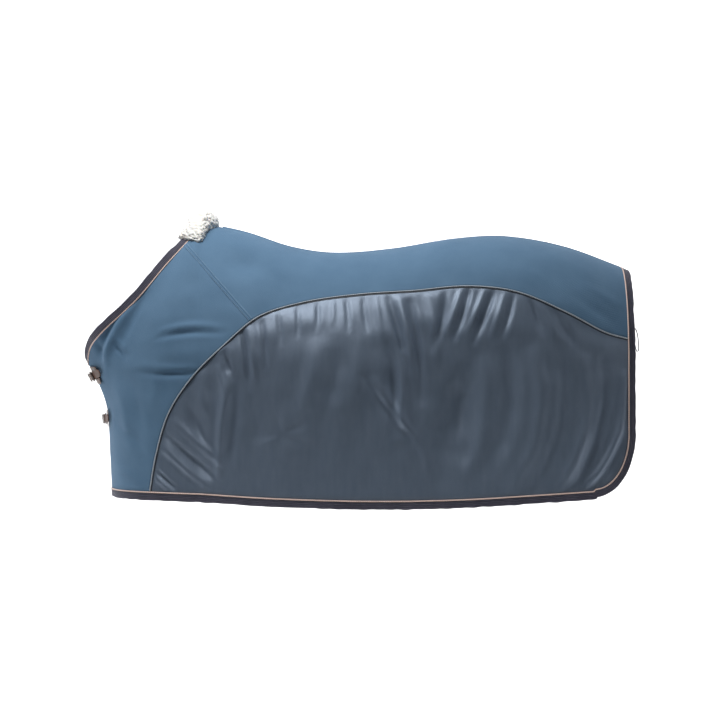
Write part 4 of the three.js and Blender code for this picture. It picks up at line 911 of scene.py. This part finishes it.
def grosgrain():
    m = Nodes("ribbed_binding")
    weave, place = m.spot("UV"), m.spot()
    split = m.add("SeparateXYZ", {"Vector": weave})
    ribs = m.math("SINE", m.math("MULTIPLY", split.outputs["Y"], math.tau / 0.0019))
    picks = m.math("SINE", m.math("MULTIPLY", split.outputs["X"], math.tau / 0.0013))
    fuzz = m.noise(place, 0.002, 2.0)
    worn = m.noise(place, 0.06, 4.0)
    channels = m.math("SINE", m.math("MULTIPLY", split.outputs["Y"], math.tau / 0.0056))
    shade = m.mixed(m.ramp(worn, 0.3, 0.75), (0.036, 0.035, 0.062, 1), (0.070, 0.068, 0.105, 1))
    # Painted highlight: the fine ribs' crests, where their bump rises, are mixed lighter.
    shade = m.mixed(m.math("MULTIPLY", m.ramp(ribs, 0.2, 1.0), 0.35), shade, (0.13, 0.128, 0.18, 1))
    # Painted shade: near-black lines along the grooves between the tape's four coarse ribs.
    shade = m.mixed(m.math("MULTIPLY", m.ramp(channels, -0.55, -0.95), 0.7), shade, (0.012, 0.012, 0.022, 1))
    under = m.bump(ribs, 0.0005, 0.5, m.bump(picks, 0.0003, 0.3))
    return m.finish(
        Base_Color=shade, Roughness=m.add(
            "MapRange", {"Value": fuzz, "To Min": 0.55, "To Max": 0.8}
        ).outputs[0],
        Normal=under, Sheen_Weight=0.3, Sheen_Roughness=0.4, Sheen_Tint=(0.7, 0.7, 0.85, 1.0),
    )


def tape_section(run, seed):
    """The folded tape round the cloth's edge: four soft ribs outside and in, a rounded fold."""
    outer = []
    for k in range(25):
        t = k / 24
        v = mix(tape_hold, tape_outside + 1.6, t)
        rib = 1.0 * abs(math.sin(math.pi * t * 4)) ** 0.7
        body = mix(cloth_half + 1.1, 1.5, ease(t * 1.5)) + rib
        outer.append((v, body if 0 < k else cloth_half + 0.1))
    fold = [
        (tape_outside + 1.6 - 1.6 * math.sin(a), 1.5 * math.cos(a))
        for a in np.linspace(0.5, math.pi - 0.5, 5)
    ]
    section = np.array(outer + fold + [(v, -n) for v, n in outer[::-1]])
    wave = rumple(run, np.zeros_like(run), 60, seed)[:, None]
    along = np.broadcast_to(section, (len(run),) + section.shape).copy()
    reach = (tape_hold - section[:, 0]) / (tape_hold - tape_outside)
    along[..., 1] += 0.9 * wave * reach
    along[..., 0] -= 0.7 * rumple(run, np.ones_like(run), 45, seed + 3)[:, None] * reach
    return along


binding_look = grosgrain()
neck_left = edges["left"]["neck"]
neck_right = [mirror_y(v) for v in edges["right"]["neck"]]
whole_neck = [np.vstack([a[::-1], b[1:]]) for a, b in zip(neck_left, neck_right)]
middle = len(neck_left[0]) - 1
for v in whole_neck[1:]:
    v[middle, 1] = 0
    v[middle] /= np.linalg.norm(v[middle])


def binding(name, frames, seed, mirror, node):
    made = swept(name, frames, tape_section(frames[3], seed), binding_look, mirror)
    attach(made, "root")
    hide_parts(node)
    return made


binding("binding_neck", shortened(whole_neck, tape_outside, tape_outside), 61, False, "neck_binding")
for side in ("left", "right"):
    other = side == "right"
    hem_frames = shortened(edges[side]["hem"], tape_outside, 1.0)
    binding(f"binding_hem_{side}", hem_frames, 62 + other, other, f"hem_binding_{side}")
    chest_frames = shortened(edges[side]["chest"], 9, 9)
    binding(f"binding_front_{side}", chest_frames, 66 + other, other, f"front_binding_{side}")

# ---------------------------------------------------------------------------
# Pipings: satin-covered cords, rose along the inner edge of every binding and
# silver in the arch seam, each lying proud of the cloth, with a fine twist.
# ---------------------------------------------------------------------------
piping_radius, piping_inset = 2.0, 7.2


def satin_cord(name, base, light):
    m = Nodes(name)
    split = m.add("SeparateXYZ", {"Vector": m.spot("UV")})
    slant = m.math(
        "ADD", m.math("MULTIPLY", split.outputs["X"], 900.0), m.math("MULTIPLY", split.outputs["Y"], 700.0)
    )
    twist = m.math("SINE", slant)
    # Painted highlight and painted shade: lighter on the twist's raised strands and darker in its grooves,
    # following the bump.
    shade = m.mixed(m.ramp(twist, -0.8, 1.0), base, light)
    return m.finish(Base_Color=shade, Roughness=0.36, Normal=m.bump(twist, 0.0006, 0.5), Sheen_Weight=0.2)


rose_look = satin_cord("rose_piping", (0.66, 0.44, 0.37, 1), (0.90, 0.72, 0.64, 1))
silver_look = satin_cord("silver_piping", (0.26, 0.30, 0.34, 1), (0.56, 0.61, 0.66, 1))


def cord_section(inset, lift, radius, sides=10):
    a = np.linspace(0, math.tau, sides, endpoint=False)
    return np.column_stack([inset + radius * np.cos(a), lift + radius * np.sin(a)])


def piping(name, frames, inset, lift, radius, material, mirror, node):
    made = swept(name, frames, cord_section(inset, lift, radius), material, mirror)
    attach(made, "root")
    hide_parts(node)
    return made


piping(
    "piping_neck", shortened(whole_neck, 15, 15, 4), piping_inset, 3.0, piping_radius, rose_look, False,
    "neck_piping"
)
for side in ("left", "right"):
    other = side == "right"
    place = edges[side]
    piping(
        f"piping_hem_{side}", shortened(place["hem"], 15, 3, 4), piping_inset, 3.0, piping_radius,
        rose_look, other, f"hem_piping_{side}",
    )
    piping(
        f"piping_front_{side}", shortened(place["chest"], 15, 15, 4), piping_inset, 3.0, piping_radius,
        rose_look, other, f"front_piping_{side}",
    )
    piping(f"piping_arch_{side}", shortened(place["arch"], 12, 10, 4), -1.0, 2.6, 1.9, silver_look, other,
           f"arch_piping_{side}")

# ---------------------------------------------------------------------------
# Seams: a dark strip under the silver cord that is painted shadow, the raised and topstitched
# shoulder seam, the corded ridge and inner tape along the spine, and the stitch rows.
# ---------------------------------------------------------------------------


def sewing_thread(name, base, light):
    m = Nodes(name)
    strands = m.noise(m.spot(), 0.0012, 2.0)
    return m.finish(
        Base_Color=m.mixed(strands, base, light), Roughness=0.55, Normal=m.bump(strands, 0.0003, 0.5),
    )


# The dark thread colour serves the stitch rows and also the painted shadow strip under the silver cord.
thread_and_shadow_look = sewing_thread("dark_thread_and_painted_shadow", (0.012, 0.016, 0.026, 1), (0.06, 0.075, 0.1, 1))
pale_thread = sewing_thread("pale_thread", (0.20, 0.32, 0.46, 1), (0.36, 0.50, 0.64, 1))


def ribbon_section(v0, v1, height, low=0.2, steps=8):
    top = [
        (mix(v0, v1, t), low + height * math.sin(math.pi * mix(0.1, 0.9, t)) ** 0.5)
        for t in np.linspace(0, 1, steps)
    ]
    return np.array(top + [(v1, low - 0.6), (v0, low - 0.6)])


# Inset from the panel's edge, lift, spacing, length and radius of the thread, in millimetres.
tape_stitch = (1.5, 3.1, 3.2, 2.3, 0.4)


def stitch_row(name, frames, inset, lift, pitch, length, radius, mirror, material=None):
    """A row of separate thread stitches, each a small rounded stroke dipping into the cloth at its ends."""
    p, inward, n = frames[:3]
    run = np.concatenate([[0], np.cumsum(np.linalg.norm(np.diff(p, axis=0), axis=1))])
    starts = np.arange(pitch, run[-1] - pitch, pitch)
    shape = np.array([(-0.5, -0.9), (-0.3, 0.1), (0.0, 0.4), (0.3, 0.1), (0.5, -0.9)])
    a = np.linspace(0, math.tau, 6, endpoint=False)
    at = (starts[:, None] + shape[:, 0] * length).ravel()
    centre = np.column_stack([np.interp(at, run, p[:, k]) for k in range(3)])
    v = np.column_stack([np.interp(at, run, inward[:, k]) for k in range(3)])
    up = np.column_stack([np.interp(at, run, n[:, k]) for k in range(3)])
    height = np.tile(lift + shape[:, 1] * radius, len(starts))
    centre = centre + v * inset + up * height[:, None]
    rings = centre[:, None] + radius * (
        v[:, None] * np.cos(a)[None, :, None] + up[:, None] * np.sin(a)[None, :, None]
    )
    verts = rings.reshape(-1, 3)
    faces = []
    for s in range(len(starts)):
        base = s * 30
        for j in range(4):
            for i in range(6):
                b = base + j * 6
                faces.append((b + i, b + (i + 1) % 6, b + 6 + (i + 1) % 6, b + 6 + i))
        faces.append(tuple(base + i for i in range(5, -1, -1)))
        faces.append(tuple(base + 24 + i for i in range(6)))
    made = mesh_object(name, mirror_y(verts) if mirror else verts, faces, material or thread_and_shadow_look)
    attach(made, "root")
    return made


for side in ("left", "right"):
    other = side == "right"
    place = edges[side]
    arch_frames = shortened(place["arch"], 12, 10, 6)
    # A painted shadow: a dark ribbon in thread colour laid under the silver cord, where the cord's shadow
    # falls.
    arch_shadow_strip = swept(f"arch_painted_shadow_{side}", arch_frames, ribbon_section(0.8, 5.4, 0.9, 0.6), thread_and_shadow_look, other)
    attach(arch_shadow_strip, "root")
    stitch_row(f"arch_stitches_{side}", arch_frames, -6.5, 1.3, 3.4, 2.5, 0.42, other)
    stitch_row(
        f"neck_tape_stitches_{side}", shortened(place["neck"], 40, 20, 6), *tape_stitch, other
    )
    stitch_row(f"hem_tape_stitches_{side}", shortened(place["hem"], 20, 6, 6), *tape_stitch, other)
    stitch_row(
        f"front_tape_stitches_{side}", shortened(place["chest"], 16, 16, 6), *tape_stitch, other
    )
    seam_frames = shortened(place["seam"], 10, 4, 4)
    welt_top = []
    for t in np.linspace(0, 1, 17):
        v = mix(-8.5, 8.5, t)
        bulge = math.sin(math.pi * mix(0.04, 0.96, t)) ** 0.6
        groove = 0.6 * math.exp(-(((abs(v) - 5.6) / 1.1) ** 2)) + 2.2 * math.exp(-((v / 1.3) ** 2))
        welt_top.append((v, 0.5 + 3.0 * bulge - groove))
    welt_low = [(8.5, -2.0), (0, -2.6), (-8.5, -2.0)]
    welt = swept(f"shoulder_seam_{side}", seam_frames, np.array(welt_top + welt_low), jersey_look, other)
    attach(welt, "root")
    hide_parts(f"shoulder_seam_tape_{side}")
    for inset in (-5.6, 5.6):
        row = "back" if inset > 0 else "front"
        stitch_row(f"seam_stitches_{row}_{side}", seam_frames, inset, 2.6, 3.6, 2.8, 0.55, other, pale_thread)

ridge_p, _, ridge_n = edges["left"]["spine"]
ridge_line = [ridge_p * [1, 0, 1], np.tile([0.0, -1.0, 0.0], (len(ridge_p), 1)), ridge_n * [1, 0, 1]]
ridge_line[2] /= np.linalg.norm(ridge_line[2], axis=1)[:, None]
ridge_frames = shortened(ridge_line, 64, 10, 4)
ridge_top = [
    (v, 0.3 + 3.4 * math.exp(-((v / 2.6) ** 2)) + 0.9 * math.cos(v / 11 * math.pi / 2))
    for v in np.linspace(-10, 10, 21)
]
ridge = swept(
    "topline_ridge", ridge_frames, np.array(ridge_top + [(10, -0.8), (-10, -0.8)]), jersey_look, False
)
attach(ridge, "root")
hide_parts("topline_piping")
inner_tape = swept("topline_inner_tape", ridge_frames, np.array(
    [(v, -2.2) for v in np.linspace(-15, 15, 11)] + [(v, -3.6) for v in np.linspace(15, -15, 11)]
), binding_look, False)
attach(inner_tape, "root")
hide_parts("topline_tape")

# ---------------------------------------------------------------------------
# Withers pad: cream fleece folded over the neckline and its binding, with
# short curled locks, stitched down along its lower edges.
# ---------------------------------------------------------------------------


def curly_fleece():
    m = Nodes("cream_fleece")
    place = m.spot()
    curls = m.add("TexVoronoi", {"Vector": place, "Scale": 190.0, "Randomness": 1.0}).outputs["Distance"]
    strands = m.noise(place, 0.0018, 4.0)
    depth = m.noise(place, 0.012, 3.0)
    shade = m.mixed(m.ramp(depth, 0.28, 0.6), (0.88, 0.84, 0.76, 1), (0.97, 0.965, 0.95, 1))
    return m.finish(
        Base_Color=shade, Roughness=0.95, Normal=m.bump(curls, 0.003, 0.3, m.bump(strands, 0.0015, 0.5)),
        Sheen_Weight=0.7, Sheen_Roughness=0.6, Subsurface_Weight=0.2, Subsurface_Scale=0.01,
        Subsurface_Radius=(1.0, 0.85, 0.7),
    )


neck_line = joined(back_front[: neck_steps + 1], grids["shoulder"][0][::-1])[:, 0]
neck_along = np.concatenate([neck_line[::-1], neck_line[1:]])
pad_run = np.concatenate([[0], np.cumsum(np.linalg.norm(np.diff(whole_neck[0], axis=0), axis=1))])
pad_half = 116.0
pad_at = np.linspace(-pad_half, pad_half, 110 * FINE + 1)
pad_p, pad_in, pad_n = shortened(
    whole_neck, pad_run[middle] - pad_half, pad_run[-1] - pad_run[middle] - pad_half,
    2 * pad_half / (110 * FINE + 0.5),
)[:3]
pad_along = np.interp(pad_at + pad_run[middle], pad_run, neck_along)
outer_edge = [(54, 3), (52, 15), (42, 24), (26, 31), (8, 34), (-10, 34), (-26, 28), (-37, 17), (-41, 3)]
inner_edge = [(-39, -9), (-30, -19), (-12, -25), (10, -27), (30, -28), (44, -26), (52, -18), (50, -9)]
lining = [(30, -6), (4, -7), (-20, -5), (-23, 0), (-20, 6), (4, 7), (30, 5), (48, 3.5)]
loop_points = smooth_curve(
    outer_edge + inner_edge + lining, True, np.linspace(0, 1, 90 * FINE, endpoint=False)
)
shrink = np.sqrt(np.clip(1 - np.abs(pad_at / (pad_half + 1)) ** 5, 0.03, 1))[:, None]
reach_in = loop_points[None, :, 0] * mix(0.72, 1.0, shrink)
crest = 1 + 0.52 * np.exp(-((pad_at / 48) ** 2))[:, None]
rise = loop_points[None, :, 1] * shrink * np.where(loop_points[None, :, 1] > 12, crest, 1.0)
straight = pad_p[:, None] + pad_in[:, None] * reach_in[..., None]
left_half = np.abs(straight) * [0, -1, 0] + straight * [1, 0, 1]
guess_along = np.broadcast_to(pad_along[:, None], reach_in.shape)
laid_along, laid_down = settle(left_half, guess_along, np.maximum(reach_in, 0) / 1000, [0, 1, 2])
laid, laid_n = form(laid_along, laid_down), normals(laid_along, laid_down)
hand = np.where(straight[..., 1] > 0, -1.0, 1.0)
for v in (laid, laid_n):
    v[..., 1] *= hand
on_cloth = ease((reach_in - 2) / 10)[..., None]
base = mix(straight, laid, on_cloth)
up = mix(np.broadcast_to(pad_n[:, None], base.shape), laid_n, on_cloth)
up = up / np.maximum(np.linalg.norm(up, axis=2), 1e-9)[..., None]
rings = base + up * rise[..., None]
blur = np.exp(-((np.arange(-24, 25) / (9.0 * FINE / 2)) ** 2) / 2)
blur /= blur.sum()
padded_rings = np.concatenate([rings[:1]] * 24 + [rings] + [rings[-1:]] * 24)
rings = sum(weight * padded_rings[k : k + len(rings)] for k, weight in enumerate(blur))
around = np.roll(rings, -1, axis=1) - np.roll(rings, 1, axis=1)
ahead = np.gradient(rings, axis=0)
swell = np.cross(around, ahead)
swell /= np.maximum(np.linalg.norm(swell, axis=2), 1e-9)[..., None]
outside = ((rings - rings.mean(axis=1, keepdims=True)) * swell).sum()
swell *= np.sign(outside)
fleece_verts = rings.reshape(-1, 3)
fleece_lift = np.empty(len(fleece_verts))
for k, v in enumerate(fleece_verts):
    near = noise.voronoi(Vector(v * 0.095))[0]
    fleece_lift[k] = (
        4.0 - 8.5 * near[0] + 2.2 * noise.noise(Vector(v * 0.3)) + 1.0 * noise.noise(Vector(v * 0.8))
    )
fleece_verts = fleece_verts + swell.reshape(-1, 3) * np.clip(fleece_lift, -5.0, 5.0)[:, None]
count, m_around = rings.shape[:2]
pad = mesh_object("fleece_withers_pad", fleece_verts, grid_faces(count, m_around, outside < 0, wrap=True) + [
    list(range(m_around)), [(count - 1) * m_around + k for k in range(m_around)][::-1]], curly_fleece())
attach(pad, "root")
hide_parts("withers_fleece_pad")

# ---------------------------------------------------------------------------
# Chest straps: brown bridle leather with bevelled, waxed edges, sewn to the two
# flaps; the billets run under polished roller buckles and through fixed keepers.
# ---------------------------------------------------------------------------


def bridle_leather():
    m = Nodes("bridle_leather")
    place = m.spot()
    grain = m.add("TexVoronoi", {"Vector": place, "Scale": 900.0}).outputs["Distance"]
    pores = m.noise(place, 0.0012, 4.0)
    wear = m.noise(place, 0.014, 4.0)
    edge_wear = m.ramp(m.add("NewGeometry").outputs["Pointiness"], 0.53, 0.64)
    shade = m.mixed(m.ramp(wear, 0.3, 0.7), (0.070, 0.027, 0.015, 1), (0.120, 0.050, 0.028, 1))
    shade = m.mixed(m.math("MULTIPLY", edge_wear, 0.5), shade, (0.20, 0.105, 0.066, 1))
    gloss = m.add("MapRange", {"Value": pores, "To Min": 0.34, "To Max": 0.58}).outputs[0]
    creases = m.bump(grain, 0.0004, 0.5, m.bump(pores, 0.0003, 0.4))
    return m.finish(Base_Color=shade, Roughness=gloss, Normal=creases, Coat_Weight=0.15, Coat_Roughness=0.3)


def polished_steel():
    m = Nodes("polished_nickel")
    place = m.spot()
    rubs = m.noise(m.add("Mapping", {"Vector": place, "Scale": (1.0, 1.0, 7.0)}).outputs[0], 0.004, 4.0)
    dulled = m.noise(place, 0.02, 3.0)
    shade = m.mixed(dulled, (0.62, 0.61, 0.59, 1), (0.80, 0.79, 0.77, 1))
    gloss = m.add("MapRange", {"Value": rubs, "To Min": 0.14, "To Max": 0.34}).outputs[0]
    return m.finish(Base_Color=shade, Metallic=1.0, Roughness=gloss, Normal=m.bump(rubs, 0.0001, 0.25))


def rounded_copy(name, node, body, material, edge, rounds=2, crown=0.0, subdivide=0):
    """A finer piece on a CAD solid's outline: joined faces, rounded edges and a slight crown."""
    source = frame["nodes"][node]
    shape = bmesh.new()
    shape.from_mesh(source.data)
    bmesh.ops.remove_doubles(shape, verts=shape.verts, dist=1e-5)
    bmesh.ops.dissolve_limit(shape, angle_limit=math.radians(0.5), verts=shape.verts, edges=shape.edges)
    sharp = [e for e in shape.edges if len(e.link_faces) == 2 and e.calc_face_angle(0) > math.radians(35)]
    bmesh.ops.bevel(
        shape, geom=sharp, offset=edge, segments=rounds, profile=0.6, affect="EDGES", clamp_overlap=True
    )
    bmesh.ops.triangulate(shape, faces=[f for f in shape.faces if len(f.verts) > 4])
    if subdivide:
        bmesh.ops.subdivide_edges(shape, edges=shape.edges, cuts=subdivide, use_grid_fill=True)
    for v in shape.verts:
        v.co += v.normal * crown * noise.noise(v.co * 90.0)
    made = bpy.data.meshes.new(name)
    shape.to_mesh(made)
    shape.free()
    made.shade_smooth()
    made.set_sharp_from_angle(angle=math.radians(38))
    made.materials.clear()
    made.materials.append(material)
    obj = bpy.data.objects.new(name, made)
    scene.collection.objects.link(obj)
    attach(obj, body)
    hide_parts(node)
    return obj


leather_look, steel_look = bridle_leather(), polished_steel()
for level in ("upper", "lower"):
    for piece, edge in (
        ("left_chest_patch", 0.6), ("right_chest_patch", 0.6), ("buckle_chape", 0.5),
        ("billet", 0.7), ("billet_keeper", 0.4),
    ):
        rounded_copy(
            f"leather_{piece}_{level}", f"{piece}_{level}", "root", leather_look, edge * MM,
            crown=0.0002
        )
    rounded_copy(
        f"steel_buckle_frame_{level}", f"buckle_frame_{level}", "root", steel_look, 0.5 * MM
    )
    rounded_copy(
        f"steel_roller_{level}", f"buckle_roller_{level}", f"roller_{level}", steel_look, 0.3 * MM
    )
    rounded_copy(
        f"steel_prong_{level}", f"buckle_prong_{level}", f"prong_{level}", steel_look, 0.4 * MM
    )

# ---------------------------------------------------------------------------
# Surcingles: two crossed belly straps of dark webbing, each hooked into a slotted
# plate on a sewn tab inside the net, with an adjusting slide. Loops for the tail
# cord are sewn on the tail binding.
# ---------------------------------------------------------------------------


def strap_webbing():
    m = Nodes("strap_webbing")
    place = m.spot()
    split = m.add("SeparateXYZ", {"Vector": place})
    chevron = m.math("ABSOLUTE", m.math("SINE", m.math("MULTIPLY", split.outputs["X"], math.tau / 0.011)))
    lines = m.math(
        "ADD", m.math("MULTIPLY", m.math("ADD", split.outputs["Z"], split.outputs["Y"]), math.tau / 0.0022),
        m.math("MULTIPLY", chevron, 3.0),
    )
    twill = m.math("SINE", lines)
    fuzz = m.noise(place, 0.0015, 3.0)
    # Painted highlight and painted shade: lighter on the twill's raised lines and darker between them,
    # following the bump.
    shade = m.mixed(m.ramp(twill, -0.6, 0.9), (0.018, 0.019, 0.03, 1), (0.06, 0.063, 0.088, 1))
    under = m.bump(twill, 0.0006, 0.6, m.bump(fuzz, 0.0004, 0.5))
    return m.finish(Base_Color=shade, Roughness=0.72, Normal=under, Sheen_Weight=0.25, Sheen_Roughness=0.4)


webbing_look = strap_webbing()
for end in ("front", "rear"):
    for part in ("patch_{}_left", "patch_{}_right", "tab_{}"):
        node = "surcingle_" + part.format(end)
        rounded_copy(f"webbing_{node}", node, "root", webbing_look, 0.5 * MM)
    rounded_copy(
        f"webbing_strap_{end}", f"surcingle_{end}", "root", webbing_look, 0.5 * MM
    )
    for part, body in (("slot_plate", "root"), ("hook", "root"), ("slide", f"slide_{end}")):
        rounded_copy(f"steel_{part}_{end}", f"surcingle_{part}_{end}", body, steel_look, 0.4 * MM)
for side in ("left", "right"):
    rounded_copy(f"cord_loop_{side}", f"tail_cord_loop_{side}", "root", binding_look, 0.1 * MM)
